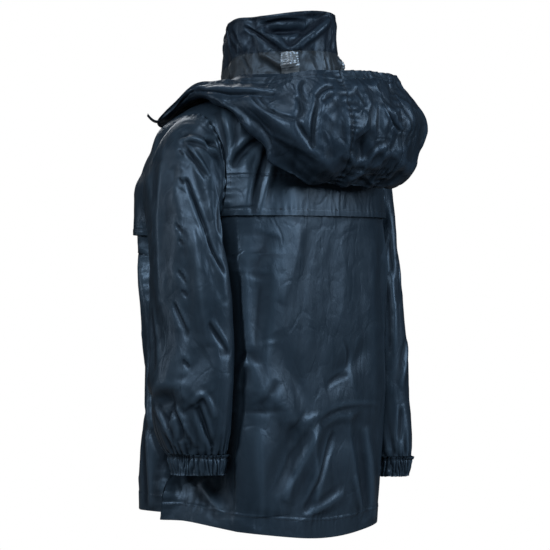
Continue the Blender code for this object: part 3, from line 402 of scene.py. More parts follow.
HEIGHT_CORRECTIONS = 5           # rounds when a height or angle is found by correction
SLEEVE_FOLDS = (
    (96, 1.2, 20, 3.6, 11, 5),
    (92, 2.4, 8, 4.4, 11, 4),
    (150, 4.2, 95, 5.6, 12, 4),
    (40, 5.4, 110, 6.6, 12, 4),
    (170, 6.2, 80, 6.3, 10, 4.5),
    (190, 2.6, 150, 4.2, 12, 3.5),
)
SLEEVE_FOLD_RADIUS = 0.052
SLEEVE_STATION_LENGTH = 0.052


# %% The body tube
def ring_value(name, v, scale=1.0):
    return through_rows(v, column(RINGS, RING_COLUMNS, "side_z", MM),
                        column(RINGS, RING_COLUMNS, name, scale))


def sleeve_value(name, station):
    return through_rows(station, column(SLEEVE, SLEEVE_COLUMNS, "station"),
                        column(SLEEVE, SLEEVE_COLUMNS, name, MM))


def posed(station, pose):
    """How far a sleeve is moved out, back and down at a station by its arm's pose."""
    share = (station / SLEEVE_END) ** 3
    elbow = pose["elbow"] * np.sin(np.pi * station / SLEEVE_END)
    return pose["out"] * share, pose["back"] * share - elbow, pose["drop"] * share


def sleeve_section(height, pose):
    """Level section of a hanging sleeve: middle x and y and half-width and half-depth."""
    station = through_rows(height, column(SLEEVE, SLEEVE_COLUMNS, "under_z", MM),
                           column(SLEEVE, SLEEVE_COLUMNS, "station"))
    inner_x = sleeve_value("under_x", station)
    outer_x = through_rows(height, column(SLEEVE, SLEEVE_COLUMNS, "over_z", MM),
                           column(SLEEVE, SLEEVE_COLUMNS, "over_x", MM))
    out, back, _ = posed(station, pose)
    wider = PUSH_WIDER_LOW + (PUSH_WIDER_HIGH - PUSH_WIDER_LOW) * smooth_step(
        ARM_PUSH_TILT_END, ARM_PUSH_FULL, height)
    return ((inner_x + outer_x) / 2 + out, sleeve_value("mid_y", station) + back,
            (outer_x - inner_x) / 2, sleeve_value("half_depth", station) * wider)


def pushed_in(radius, angle, v, mid_y):
    """Keep the body's radius short of the sleeve beside it.

    The ray from the ring's middle meets the sleeve's enlarged section where a quadratic in the
    radius is zero.  Where it misses, the limit runs on outward, so the wall stays smooth.
    """
    limited = radius
    s, c = np.abs(np.sin(np.radians(angle))), np.cos(np.radians(angle))
    for side, sign in (("left", 1), ("right", -1)):
        x, y, half_x, half_y = sleeve_section(v, SLEEVE_POSE[side])
        half_x, half_y = half_x + ARM_CLEAR, half_y + ARM_CLEAR
        square = (s / half_x) ** 2 + (c / half_y) ** 2
        linear = 2 * (c * (mid_y - y) / half_y ** 2 - s * x / half_x ** 2)
        level = (x / half_x) ** 2 + ((mid_y - y) / half_y) ** 2 - 1
        inside = linear ** 2 - 4 * square * level
        reach = np.sqrt(np.abs(inside))
        limit = (-linear + np.where(inside > 0, -1.0, PUSH_OPENS) * reach) / (2 * square)
        gap = np.clip((limit - radius) / ARM_CLEAR_ROUND, -30, 30)
        short = radius - ARM_CLEAR_ROUND * np.log1p(np.exp(-gap))
        limited = np.where(angle * sign > 0, short, limited)
    push = smooth_step(ARM_PUSH_FROM, ARM_PUSH_FULL, v)
    push = push * (1 - (1 - ARM_PUSH_LEFT_AT_HEM) * smooth_step(ARM_PUSH_END, ARM_PUSH_GONE, v))
    return radius + (limited - radius) * push


def smooth_body(angle, v):
    """The body tube without folds; angle in degrees from centre back, v the side height."""
    angle, v = np.broadcast_arrays(np.asarray(angle, float), np.asarray(v, float))
    turn = np.radians(angle)
    back_y, front_y = ring_value("back_y", v, MM), ring_value("front_y", v, MM)
    mid_y, half_depth = (back_y + front_y) / 2, (back_y - front_y) / 2
    power = ring_value("squareness", v)
    radius = ((np.abs(np.sin(turn)) / ring_value("half_width", v, MM)) ** power
              + (np.abs(np.cos(turn)) / half_depth) ** power) ** (-1 / power)
    radius = pushed_in(radius, angle, v, mid_y)
    to_back = np.clip(np.cos(turn), 0, 1) ** LEVEL_POWER
    to_front = np.clip(-np.cos(turn), 0, 1) ** LEVEL_POWER
    height = (v + to_back * (ring_value("back_z", v, MM) - v)
              + to_front * (ring_value("front_z", v, MM) - v))
    return np.stack((radius * np.sin(turn), mid_y + radius * np.cos(turn), height), axis=-1)


def body(angle, v, lift=0.0):
    """The body tube with its large folds, moved out along its normal by lift."""
    angle, v = np.broadcast_arrays(np.asarray(angle, float), np.asarray(v, float))
    normal = surface_normal(smooth_body, angle, v, ANGLE_STEP, HEIGHT_STEP)
    per_degree = np.radians(1) * BODY_FOLD_RADIUS
    depth = fold_depth(angle * per_degree, v, fold_rows(BODY_FOLDS, per_degree, MM))
    return smooth_body(angle, v) + normal * (np.asarray(lift) - depth)[..., None]


def armhole_angle(v, towards_front):
    """Angle of the armhole's edge at side height v; its middle angle above and below it."""
    off = np.clip((v - ARMHOLE_MID) / ARMHOLE_HALF_HEIGHT, -1, 1)
    return ARMHOLE_ANGLE + (1 if towards_front else -1) * ARMHOLE_HALF_ANGLE * np.sqrt(1 - off ** 2)


def side_edge(v, towards_front):
    """Edge of a body piece: shoulder seam, armhole, then the side seam down to the hem."""
    underarm = ARMHOLE_MID - ARMHOLE_HALF_HEIGHT
    run = np.clip((underarm - v) / (underarm - HEM_HEIGHT), 0, 1)
    return armhole_angle(v, towards_front) + (SIDE_SEAM_AT_HEM - ARMHOLE_ANGLE) * run


# %% The sleeves
def armhole_ring(beta, lift):
    """The armhole's edge moved out by lift; beta 0 back, 90 top, 180 front, 270 underarm."""
    turn = np.radians(beta)
    return body(ARMHOLE_ANGLE - ARMHOLE_HALF_ANGLE * np.cos(turn),
                ARMHOLE_MID + ARMHOLE_HALF_HEIGHT * np.sin(turn), lift)


def sleeve_ellipse(beta, station, pose):
    """The left sleeve's plain loft: an ellipse between its overarm and underarm lines."""
    turn = np.radians(beta)
    over_x, over_z, under_x, under_z, half_depth, mid_y = (
        sleeve_value(name, station) for name in SLEEVE_COLUMNS[1:])
    out, back, down = posed(station, pose)
    x = (over_x + under_x) / 2 + np.sin(turn) * (over_x - under_x) / 2 + out
    y = mid_y + half_depth * np.cos(turn) + back
    z = (over_z + under_z) / 2 + np.sin(turn) * (over_z - under_z) / 2 - down
    return np.stack((x, y, z), axis=-1)


def smooth_sleeve(beta, station, pose):
    """Straight out of the armhole at first, then over into the plain loft."""
    beta, station = np.broadcast_arrays(np.asarray(beta, float), np.asarray(station, float))
    lift = SLEEVE_RISE * np.clip(station / RISE_STATION, 0, 1)
    later = np.maximum(station, RISE_STATION)
    fade = 1 - smooth_step(RISE_STATION, ARMHOLE_BLEND, later)
    start = sleeve_ellipse(beta, np.full_like(station, RISE_STATION), pose)
    own_shape = armhole_ring(beta, lift) - start
    return sleeve_ellipse(beta, later, pose) + own_shape * fade[..., None]


def clear_of_body(points, wanted, sign):
    """Move left-sleeve points outward from the body's middle until they are clear of it.

    The body's own radius is read at each point's angle and height; the height is found by a
    few corrections, because a ring isn't quite level.
    """
    v = points[..., 2].copy()
    for _ in range(HEIGHT_CORRECTIONS):
        middle = (ring_value("back_y", v, MM) + ring_value("front_y", v, MM)) / 2
        angle = sign * np.degrees(np.arctan2(points[..., 0], points[..., 1] - middle))
        wall = smooth_body(angle, v)
        v = v + points[..., 2] - wall[..., 2]
    out = points - np.stack((0 * v, middle, points[..., 2]), axis=-1)
    radius = np.hypot(out[..., 0], out[..., 1])
    short = wanted - (radius - np.hypot(wall[..., 0], wall[..., 1] - middle))
    push = MM * np.log1p(np.exp(np.clip(short / MM, -30, 30)))
    push = np.where(wanted > 0, push, 0.0)
    return points + out / radius[..., None] * push[..., None]


def sleeve(beta, station, pose, inset=0.0):
    """The left sleeve with its folds, moved in along its normal by inset."""
    beta, station = np.broadcast_arrays(np.asarray(beta, float), np.asarray(station, float))
    along_u = smooth_sleeve(beta + 1, station, pose) - smooth_sleeve(beta - 1, station, pose)
    along_v = (smooth_sleeve(beta, np.minimum(station + STATION_STEP, SLEEVE_END), pose)
               - smooth_sleeve(beta, np.maximum(station - STATION_STEP, 0), pose))
    normal = unit(np.cross(along_u, along_v))
    per_degree = np.radians(1) * SLEEVE_FOLD_RADIUS
    wrapped = np.mod(beta + 90, 360) - 90
    depth = fold_depth(wrapped * per_degree, station * SLEEVE_STATION_LENGTH,
                       fold_rows(SLEEVE_FOLDS, per_degree, SLEEVE_STATION_LENGTH))
    depth = depth * smooth_step(0, 1, station) * (1 - smooth_step(SLEEVE_END - 1, SLEEVE_END, station))
    points = smooth_sleeve(beta, station, pose) - normal * (depth + inset)[..., None]
    wanted = (SLEEVE_OFF_YOKE
              + (SLEEVE_OFF_BODY - SLEEVE_OFF_YOKE) * smooth_step(YOKE_BLEND, ARMHOLE_BLEND, station))
    return clear_of_body(points, np.where(station > RISE_STATION, wanted, 0.0), pose["sign"])


def outer_seam(station):
    """Angle of the outside seam: on top at the sleeve head, a little behind lower down."""
    return 90 - OUTER_SEAM_SWING * smooth_step(RISE_STATION, ARMHOLE_BLEND, station)


def under_seam(station):
    return -90 - UNDER_SEAM_SWING * smooth_step(RISE_STATION, ARMHOLE_BLEND, station)


# %% The collar
COLLAR_TOP = {"back_z": 84.0 * MM, "side_z": 75.0 * MM, "front_z": 45.0 * MM}
COLLAR_TOP_HALF_WIDTH = 71.0 * MM
COLLAR_TOP_BACK_Y = 70.0 * MM
COLLAR_TOP_FRONT_Y = -74.0 * MM
COLLAR_BAND_SHARE = 0.38         # height of the lower band's seam as a share of the collar
COLLAR_FRONT_ANGLE = 178.5       # the collar's ends, degrees from centre back
COLLAR_TAPE_ANGLE = 40.0         # the two taped seams of the lower band
COLLAR_TAPE_SPREAD = 13.0
COLLAR_TAPE_SWELL = 8.0 * MM
PUSHED_IN_ANGLE = 36.0           # middle of the inward fold
PUSHED_IN_HALF_ANGLE = 62.0      # its half-width at the top
PUSHED_IN_DEPTH = 9.0 * MM
PUSHED_IN_FLAT, PUSHED_IN_END = 0.55, 1.05   # shares of its half-width: full depth, then none
PUSHED_IN_FULL = 0.5             # share of the upper band's height by which it is fully in
TOP_EDGE_OUT, TOP_EDGE_FROM = 0.55, 0.8      # near the top edge it comes out again by this share


def collar(angle, rise, lift=0.0):
    """Collar wall: rise 0 at the neck seam, 1 at the top edge."""
    angle, rise = np.broadcast_arrays(np.asarray(angle, float), np.asarray(rise, float))
    foot = smooth_body(angle, np.full_like(angle, NECK_HEIGHT))
    turn = np.radians(angle)
    mid_y = (COLLAR_TOP_BACK_Y + COLLAR_TOP_FRONT_Y) / 2
    half_depth = (COLLAR_TOP_BACK_Y - COLLAR_TOP_FRONT_Y) / 2
    to_back = np.clip(np.cos(turn), 0, 1) ** 2
    to_front = np.clip(-np.cos(turn), 0, 1) ** 2
    side = COLLAR_TOP["side_z"]
    top_z = (side + to_back * (COLLAR_TOP["back_z"] - side)
             + to_front * (COLLAR_TOP["front_z"] - side))
    top = np.stack((COLLAR_TOP_HALF_WIDTH * np.sin(turn), mid_y + half_depth * np.cos(turn),
                    top_z), axis=-1)
    wall = foot + (top - foot) * rise[..., None]
    out = np.stack((np.sin(turn), np.cos(turn), np.zeros_like(turn)), axis=-1)
    return wall + out * (lift + collar_swell(angle, rise) - collar_fold(angle, rise))[..., None]


def collar_swell(angle, rise):
    """The lower band swells out where its two taped seams gather it."""
    across = np.exp(-((np.abs(angle) - COLLAR_TAPE_ANGLE) / COLLAR_TAPE_SPREAD) ** 2)
    up = np.sin(np.pi * np.clip(rise / COLLAR_BAND_SHARE, 0, 1)) ** 2
    return COLLAR_TAPE_SWELL * across * up


def collar_fold(angle, rise):
    """The back of the collar folds in above its lower band: a wedge, widest near the top."""
    above = np.clip((rise - COLLAR_BAND_SHARE) / (1 - COLLAR_BAND_SHARE), 0, 1)
    half = np.maximum(PUSHED_IN_HALF_ANGLE * above, 1.0)
    off = np.abs(angle - PUSHED_IN_ANGLE) / half
    inside = 1 - smooth_step(PUSHED_IN_FLAT, PUSHED_IN_END, off)
    near_top = 1 - TOP_EDGE_OUT * smooth_step(TOP_EDGE_FROM, 1.0, above)
    return PUSHED_IN_DEPTH * inside * smooth_step(0.0, PUSHED_IN_FULL, above) * near_top


# %% The hood
HOOD_COLUMNS = ("angle", "inner_v", "inner_off", "bottom_v", "bottom_off",
                "outer_r", "outer_z", "edge_r", "edge_z")
HOOD = (
    (0, -70, 10, -149, 42, 167, -70, 142, 4),
    (18, -68, 10, -148, 42, 174, -68, 148, 3),
    (38, -62, 10, -142, 39, 184, -60, 150, 0),
    (54, -50, 10, -112, 33, 174, -54, 141, -6),
    (70, -36, 8, -68, 17, 165, -41, 136, -9),
    (85, -26, 7, -42, 10, 153, -29, 134, -10),
    (100, -22, 7, -37, 10, 144, -28, 139, -13),
    (114, -22, 7, -36, 9, 143, -41, 151, -36),
    (126, -24, 7, -42, 8, 149, -55, 163, -57),
    (140, -18, 6, -34, 7, 133, -57, 147, -66),
    (152, -12, 5.5, -24, 6, 112, -55, 122, -61),
    (160, -8, 5, -16, 5.5, 98, -50, 104, -54),
)
HOOD_OWN_ANGLE_FROM, HOOD_OWN_ANGLE_FULL = 48.0, 80.0
HOOD_SEAM_ANGLE = 17.0           # between the centre strip and the side pieces
HOOD_CROSS_SEAM = 2.42           # profile position of the seam across the centre strip
HOOD_BAND = 3.78                 # profile position of the elastic casing's lower edge
HOOD_NECK_DROP = 1.0 * MM        # its neck seam lies this far under the collar's
HOOD_NECK_LIFT = 1.4 * MM
HOOD_NECK_OUT = 1.8 * MM


def hood_controls(angle):
    """Five profile points at each hood angle: neck, inner, bottom, outer, edge."""
    size = np.abs(angle)
    at = column(HOOD, HOOD_COLUMNS, "angle")
    value = {name: through_rows(size, at, column(HOOD, HOOD_COLUMNS, name, MM))
             for name in HOOD_COLUMNS[1:]}
    turn = np.radians(angle)
    out = np.stack((np.sin(turn), np.cos(turn), np.zeros_like(turn)), axis=-1)
    up = np.array((0.0, 0.0, 1.0))

    def off_body(v, lift):
        """A point off the body; beside and in front it stays in the hood's own angle."""
        at_angle = angle.copy()
        for _ in range(HEIGHT_CORRECTIONS):
            point = smooth_body(at_angle, v)
            off = angle - np.degrees(np.arctan2(point[..., 0], point[..., 1]))
            at_angle = at_angle + off * smooth_step(HOOD_OWN_ANGLE_FROM, HOOD_OWN_ANGLE_FULL, size)
        normal = surface_normal(smooth_body, at_angle, v, ANGLE_STEP, HEIGHT_STEP)
        return smooth_body(at_angle, v) + normal * lift[..., None]

    neck_v = np.full_like(size, NECK_HEIGHT - HOOD_NECK_DROP)
    neck = off_body(neck_v, np.full_like(size, HOOD_NECK_LIFT)) + out * HOOD_NECK_OUT
    inner = off_body(value["inner_v"], value["inner_off"])
    bottom = off_body(value["bottom_v"], value["bottom_off"])
    outer = out * value["outer_r"][..., None] + up * value["outer_z"][..., None]
    edge = out * value["edge_r"][..., None] + up * value["edge_z"][..., None]
    return np.stack((neck, inner, bottom, outer, edge), axis=-2)


def hood(angle, along):
    """The hood's cloth; along runs 0 neck seam, 1 inner, 2 bottom, 3 outer, 4 face edge."""
    angle, along = np.broadcast_arrays(np.asarray(angle, float), np.asarray(along, float))
    points = hood_controls(angle)
    count = points.shape[-2]
    i = np.clip(np.floor(along).astype(int), 0, count - 2)
    s = (along - i)[..., None]

    def pick(index):
        index = np.clip(index, 0, count - 1)
        return np.take_along_axis(points, index[..., None, None], axis=-2)[..., 0, :]

    before, here, there, after = pick(i - 1), pick(i), pick(i + 1), pick(i + 2)
    slope_here, slope_there = (there - before) / 2, (after - here) / 2
    return (here * (1 + 2 * s) * (1 - s) ** 2 + slope_here * s * (1 - s) ** 2
            + there * s ** 2 * (3 - 2 * s) - slope_there * s ** 2 * (1 - s))


# %% Flaps
FLAP_LIFT = 4.6 * MM             # outer face of a yoke's free flap above the panel under it
FLAP_LIFT_AT_SEAM = 2.0 * MM     # the same where the flap is sewn into the armhole
FLAP_FREE_ANGLE = 16.0           # degrees from the armhole over which it comes free
FLAP_STARTS, FLAP_FULL = 34.0 * MM, 8.0 * MM   # heights above the hidden seam where it lifts off
STORM_LIFT_LOW = 2.6 * MM        # storm flap above the fronts
STORM_LIFT_HIGH = 7.0 * MM       # storm flap above the front yokes
STORM_HALF_WIDTH = 24.0 * MM
STORM_RADIUS_NECK, STORM_RADIUS_CHEST = 85.0 * MM, 115.0 * MM
STORM_CHEST = -60.0 * MM         # height from which the body has its chest's radius there
STORM_STEP = 24.0 * MM           # the storm flap rises over the front yokes along this length
STORM_COLLAR_CLOSER = 2.2 * MM   # it lies this much closer to the collar than to the yokes


def flap_lift(v, angle, seam):
    """A yoke lies in line above the seam under it and stands out below it.

    It stands out less near the armhole, where it is sewn in with the panel under it.
    """
    towards_front = np.abs(angle).max() > 2 * ARMHOLE_ANGLE
    from_edge = np.abs(np.abs(angle) - side_edge(v, towards_front)[:, None])
    height = FLAP_LIFT_AT_SEAM + (FLAP_LIFT - FLAP_LIFT_AT_SEAM) * smooth_step(
        0, FLAP_FREE_ANGLE, from_edge)
    return height * smooth_step(seam + FLAP_STARTS, seam + FLAP_FULL, v)[:, None]


def storm_half_angle(v):
    """Half the storm flap's width as an angle; the body is narrower near the neck."""
    reach = smooth_step(0, STORM_CHEST, v)
    radius = STORM_RADIUS_NECK + (STORM_RADIUS_CHEST - STORM_RADIUS_NECK) * reach
    return np.degrees(STORM_HALF_WIDTH / radius)


def storm_lift(v):
    share = smooth_step(YOKE_EDGE_FRONT - STORM_STEP, YOKE_EDGE_FRONT, v)
    return STORM_LIFT_LOW + (STORM_LIFT_HIGH - STORM_LIFT_LOW) * share


# %% [markdown]
# ## How a crease is made
# Three kinds of relief lie on every sheet. Single folds are drawn one by one: each follows a curve
# through three places on the cloth, and is a tent of two flat flanks that meet in a crest. A
# ridge is wider than a crease of the same row. Puckers are short ripples beside a seam, where
# thread has drawn the cloth up. The crumple is everywhere: flat facets that meet in straight
# creases. It is read at the point's own place in space, so it runs on across a seam from one
# piece to the next.

# %% Random values and facets
def lattice_noise(points, seed):
    """Smooth random values from 0 to 1: one number at each corner of a unit lattice, blended
    inside each cube with an S-shaped weight along each axis."""
    cell = np.floor(points).astype(np.int64)
    s = points - cell
    s = s * s * (3 - 2 * s)
    total = np.zeros(points.shape[:-1])
    for corner in np.ndindex(2, 2, 2):
        x, y, z = np.moveaxis(cell + np.array(corner), -1, 0)
        mixed = (x * 73856093) ^ (y * 19349663) ^ (z * 83492791) ^ (seed * 26544357)
        mixed = ((mixed ^ (mixed >> 13)) * 12741261) & 0x7FFFFFFF
        value = ((mixed ^ (mixed >> 15)) & 0xFFFF) / 0xFFFF
        total += value * np.prod(np.where(corner, s, 1 - s), axis=-1)
    return total


def nearest_seed(points, seed):
    """Squared distance to the nearest of many seeds, one placed at random in each unit cube."""
    cell = np.floor(points).astype(np.int64)
    inside = (points - cell).astype(np.float32)
    nearest = np.full(points.shape[:-1], 9.0, dtype=np.float32)
    for corner in np.ndindex(3, 3, 3):
        x, y, z = np.moveaxis(cell + np.array(corner), -1, 0)
        mixed = (x * 73856093) ^ (y * 19349663) ^ (z * 83492791) ^ (seed * 26544357)
        mixed = ((mixed ^ (mixed >> 13)) * 12741261) & 0x3FFFFFFF
        mixed = ((mixed ^ (mixed >> 11)) * 7919393) & 0x3FFFFFFF
        distance = np.zeros_like(nearest)
        for axis in range(3):
            place = ((mixed >> (10 * axis)) & 1023).astype(np.float32) / 1023 + (corner[axis] - 1)
            distance += (inside[..., axis] - place) ** 2
        nearest = np.minimum(nearest, distance)
    return nearest


CRUMPLE_SIZES = ((0.062, 0.10), (0.030, 0.09), (0.015, 0.06))    # metres, steepness


def crumple(points, strength=1.0, stretch=(1.0, 1.0, 0.75), sizes=CRUMPLE_SIZES):
    """Flat facets that meet in straight creases, in metres: the squared distance to the nearest
    of one set of seeds, less that of another set. Each alone is a bowl round every seed; in
    their difference the bowls cancel and flat facets are left."""
    total = np.zeros(points.shape[:-1])
    for k, (size, steepness) in enumerate(sizes):
        place = points * np.array(stretch) / size
        bend = np.stack([lattice_noise(place / 1.5 + 9.1 * n, 30 + 3 * k + n) for n in range(2)], -1)
        place = place + 0.5 * np.concatenate((bend, bend[..., :1]), axis=-1)
        facet = nearest_seed(place, 60 + 2 * k) - nearest_seed(place, 61 + 2 * k)
        total += size * steepness * facet
    return strength * total


# %% Single folds and seam puckers
FOLD_SCALE = 1.45
RIDGE_WIDER = 1.4                 # a ridge is this much wider than its row says
CURVE_STEPS = 8


def fold_lines(u, v, per_u, step, rows):
    """Height of single folds, in metres, at places u and v along the cloth; v is in metres.
    Each row is three (u, v) places on the curve, then its half-width and height in mm, and its
    lean; per_u and step are the metres for one unit of a row's u and v. A fold is a tent: two
    flat flanks that meet in a crisp crest, faded at its ends. With a lean, the flank on one
    side is steeper and runs out in a small trough, as on a fold that falls over."""
    cloth = np.stack(np.broadcast_arrays(u * per_u, v * 1.0), axis=-1)
    t = np.linspace(0, 1, CURVE_STEPS + 1)[:, None]
    total = np.zeros(cloth.shape[:-1])
    for *places, width, height, lean in rows:
        a, b, c = np.array(places).reshape(3, 2) * np.array((per_u, step))
        bend = 2 * b - (a + c) / 2
        curve = a * (1 - t) ** 2 + bend * 2 * t * (1 - t) + c * t ** 2
        nearest, side, along = np.full(total.shape, np.inf), 0.0, 0.0
        for k, chord in enumerate(np.diff(curve, axis=0)):
            off = cloth - curve[k]
            share = np.clip(off @ chord / (chord @ chord), 0, 1)
            gap = off - share[..., None] * chord
            distance = np.hypot(gap[..., 0], gap[..., 1])
            closer = distance < nearest
            turned = chord[0] * gap[..., 1] - chord[1] * gap[..., 0]
            side = np.where(closer, np.sign(turned), side)
            along = np.where(closer, (k + share) / CURVE_STEPS, along)
            nearest = np.where(closer, distance, nearest)
        x = nearest * side / (width * MM * (RIDGE_WIDER if height > 0 else 1.0))
        steeper = np.where(x * lean > 0, 1 + 1.3 * abs(lean), 1.0)
        tent = np.clip(1 - np.sqrt((x * steeper) ** 2 + 0.012) / 1.7, 0, 1) ** 1.2
        trough = 0.5 * abs(lean) * np.exp(-((x - 1.5 * np.sign(lean)) / 0.55) ** 2)
        total += FOLD_SCALE * height * MM * (tent - trough) * np.sin(np.pi * along) ** 0.5
    return total


PUCKERS = {    # along each seam: pitch, height and reach in mm, and the seed of its unevenness
    "side seam": (10, 0.4, 8, 60),
    "hem": (11, 0.6, 11, 64),
    "yoke edge": (9, 0.5, 7, 70),
    "yoke seam": (8, 0.8, 6, 74),
    "storm flap edge": (10, 0.35, 6, 80),
    "sleeve head": (9, 1.8, 15, 90),
    "sleeve seam": (12, 0.5, 6, 94),
    "collar band": (8, 0.5, 5, 130),
    "tape rungs": (3.4, 0.5, 9, 140),
    "hood seam": (8, 1.8, 8, 150),
    "hood casing": (13, 0.6, 8, 154),
    "hood cross seam": (7, 0.9, 7, 160),
}


def puckers(seam, distance, along):
    """Ripples across a seam, about pitch apart along it, gone past reach from it."""
    *sizes, seed = PUCKERS[seam]
    pitch, height, reach = (size * MM for size in sizes)
    distance, along = np.broadcast_arrays(distance, along)
    line = np.stack((along / (2.3 * pitch), 0 * along + 0.5, 0 * along + 0.5), axis=-1)
    phase = along / pitch + 1.8 * lattice_noise(line, seed)
    size = 0.15 + 2.2 * np.maximum(lattice_noise(line * 0.8 + 3.1, seed + 1) - 0.4, 0)
    return height * size * np.sin(2 * np.pi * phase) * np.exp(-(distance / reach) ** 2)


# %% [markdown]
# ## From a grid of points to a sewn piece
# A piece is a grid: rows run down the cloth and columns run round the wearer. Its relief is
# added along the grid's own normals, its edges are drawn in a little from the seam lines, and
# Solidify gives it the cloth's thickness on the inside. The UV map is in metres along rows and
# columns, so a weave keeps its size. How far each point stands above its neighbours is kept as
# an attribute. With it the cloth's colour is painted paler on its crests as painted light and
# darker in its creases as painted shade, and the creases are made duller.

# %% Grid helpers
def rows_between(start, end, step, close=(), fine=0.7 * MM, reach=4.2 * MM):
    """Even stops from start to end, with extra ones round each stop in close."""
    count = int(np.ceil(abs(end - start) / step)) + 1
    stops = np.linspace(start, end, count)
    low, high = min(start, end), max(start, end)
    for place in close:
        near = place + np.arange(-reach, reach + fine / 2, fine)
        near = near[(near > low + fine) & (near < high - fine)]
        stops = np.concatenate((stops[np.abs(stops - place) > reach + fine / 2], near))
    stops = np.unique(np.concatenate((stops, (start, end))))
    return stops if end > start else stops[::-1]


def pull_in(points, gaps):
    """Move a sheet's edges in from their seam lines; gaps for top, bottom, first and last side."""
    top, bottom, first, last = gaps
    moved = points.copy()
    moved[0] += unit(points[1] - points[0]) * top
    moved[-1] += unit(points[-2] - points[-1]) * bottom
    moved[:, 0] += unit(points[:, 1] - points[:, 0]) * first
    moved[:, -1] += unit(points[:, -2] - points[:, -1]) * last
    return moved


def grid_normals(points, closed=False):
    """Outward normals: the cross product of the steps along a row and down a column."""
    if closed:
        along = np.roll(points, -1, axis=1) - np.roll(points, 1, axis=1)
    else:
        along = np.gradient(points, axis=1)
    return unit(np.cross(along, np.gradient(points, axis=0)))


def lengths(points, axis):
    """Distance run along an axis of the grid, from 0."""
    steps = np.linalg.norm(np.diff(points, axis=axis), axis=-1)
    return np.concatenate((np.zeros_like(np.take(steps, [0], axis)), np.cumsum(steps, axis)), axis)


def prominence(height, reach=3):
    """How far each point stands above the mean of its neighbours: negative in a crease."""
    mean = height
    for axis in (0, 1):
        edge = [(reach, reach) if k == axis else (0, 0) for k in (0, 1)]
        padded = np.pad(mean, edge, mode="edge")
        mean = sum(np.take(padded, np.arange(k, k + height.shape[axis]), axis)
                   for k in range(2 * reach + 1)) / (2 * reach + 1)
    return height - mean


def grid_quads(rows, columns, closed=False):
    """The four-cornered faces of a grid; a closed one joins its last column to its first."""
    row, at = np.meshgrid(np.arange(rows - 1), np.arange(columns if closed else columns - 1),
                          indexing="ij")
    here, after = row * columns + at, row * columns + (at + 1) % columns
    return np.stack((here, after, after + columns, here + columns), axis=-1).reshape(-1, 4)


def mesh_object(name, vertices, quads, material):
    """A mesh object at the origin from arrays of vertices and four-cornered faces. Edges with
    only one face are sharp, so that the rim's thickness doesn't darken the cloth beside it."""
    mesh = bpy.data.meshes.new(name)
    mesh.vertices.add(len(vertices))
    mesh.vertices.foreach_set("co", np.ascontiguousarray(vertices, dtype=np.float32).ravel())
    mesh.loops.add(quads.size)
    mesh.loops.foreach_set("vertex_index", quads.ravel().astype(np.int32))
    mesh.polygons.add(len(quads))
    mesh.polygons.foreach_set("loop_start", np.arange(0, quads.size, 4, dtype=np.int32))
    mesh.polygons.foreach_set("loop_total", np.full(len(quads), 4, dtype=np.int32))
    mesh.materials.append(material)
    mesh.update(calc_edges=True)
    mesh.validate()
    mesh.shade_smooth()
    of_corner = np.zeros(len(mesh.loops), dtype=np.int32)
    mesh.loops.foreach_get("edge_index", of_corner)
    sharp = mesh.attributes.new("sharp_edge", "BOOLEAN", "EDGE")
    sharp.data.foreach_set("value", np.bincount(of_corner, minlength=len(mesh.edges)) == 1)
    return add_object(name, mesh)


# %% A cloth piece from a grid
FREE_EDGE = (0.1 * MM, 0.0, 0.1 * MM, 0.1 * MM)    # gaps where only the lower edge is free
SHELL = 0.9 * MM                  # two layers of nylon with their seam allowance
made = {}                         # outer points and normals of each piece, for its stitching


def cloth_piece(node_name, points, height, material,
                gaps=(0.1 * MM,) * 4, thickness=SHELL, closed=False, name=None):
    """Sew a grid into a piece that stands for a node of the frame, and hide that node if it has one.
    """
    name = name or node_name + "_cloth"
    raised = points + grid_normals(points, closed) * height[..., None]
    if not closed:
        raised = pull_in(raised, gaps)
    rows, columns = raised.shape[:2]
    quads = grid_quads(rows, columns, closed)
    obj = mesh_object(name, raised.reshape(-1, 3), quads, material)
    run, drop = lengths(raised, 1), lengths(raised, 0)
    corners = quads.reshape(-1)
    uv = obj.data.uv_layers.new(name="cloth")
    uv.data.foreach_set("uv", np.stack((run.ravel()[corners], -drop.ravel()[corners]),
                                       axis=-1).astype(np.float32).ravel())
    crest = obj.data.attributes.new("crest", "FLOAT", "POINT")
    crest.data.foreach_set("value", (prominence(height) / MM).astype(np.float32).ravel())
    solid = obj.modifiers.new("cloth", "SOLIDIFY")
    solid.thickness, solid.offset = thickness, -1.0
    made[name] = (raised, grid_normals(raised, closed))
    if node_name:
        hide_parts(node_name)
    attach(obj, "root")
    return obj


# %% [markdown]
# ## Materials
# Coated nylon taffeta is plain and very fine: its weave is felt more than seen. What shows is
# the coating: a soft gloss, duller in the creases. Its colour is painted paler on the crests as
# painted light and darker in the creases as painted shade. The hood and the collar take darker
# copies of the navy as painted shade. What is too small for the mesh is a bump: fine noise, flat
# plates of two sizes and thin straight grooves of two sizes. The collar's lower band is turned
# to its grey coated side, and its seams are taped with a glossy strip.

# %% Coated cloth
CREST = 0.8                       # prominence, in mm, that gets the full painted light of a crest or painted shade of a crease
SPECULAR_TINT = (0.48, 0.71, 1.0)    # dyed nylon throws back a bluish gloss
CRINKLES = ((72.0, 1.5), (140.0, 0.5))                   # plates to a metre, depth in mm
CREASE_LINES = ((17.0, 22.0, 1.0), (39.0, 10.0, 0.8))    # cells to a metre, narrowness, depth in mm
THREADS = 390.0                   # waves of the weave to a metre
COAT_ROUGHNESS = 0.22


def plates(tree, place, scale):
    """The same flat facets as a bump: one squared cell distance less another."""
    squares = []
    for offset in (0.0, 3.7):
        moved = calc(tree, "ADD", place, (offset,) * 3, kind="VectorMath", result="Vector")
        cells = node(tree, "ShaderNodeTexVoronoi", Vector=moved, Scale=scale).outputs["Distance"]
        squares.append(calc(tree, "MULTIPLY", cells, cells))
    return calc(tree, "SUBTRACT", *squares)


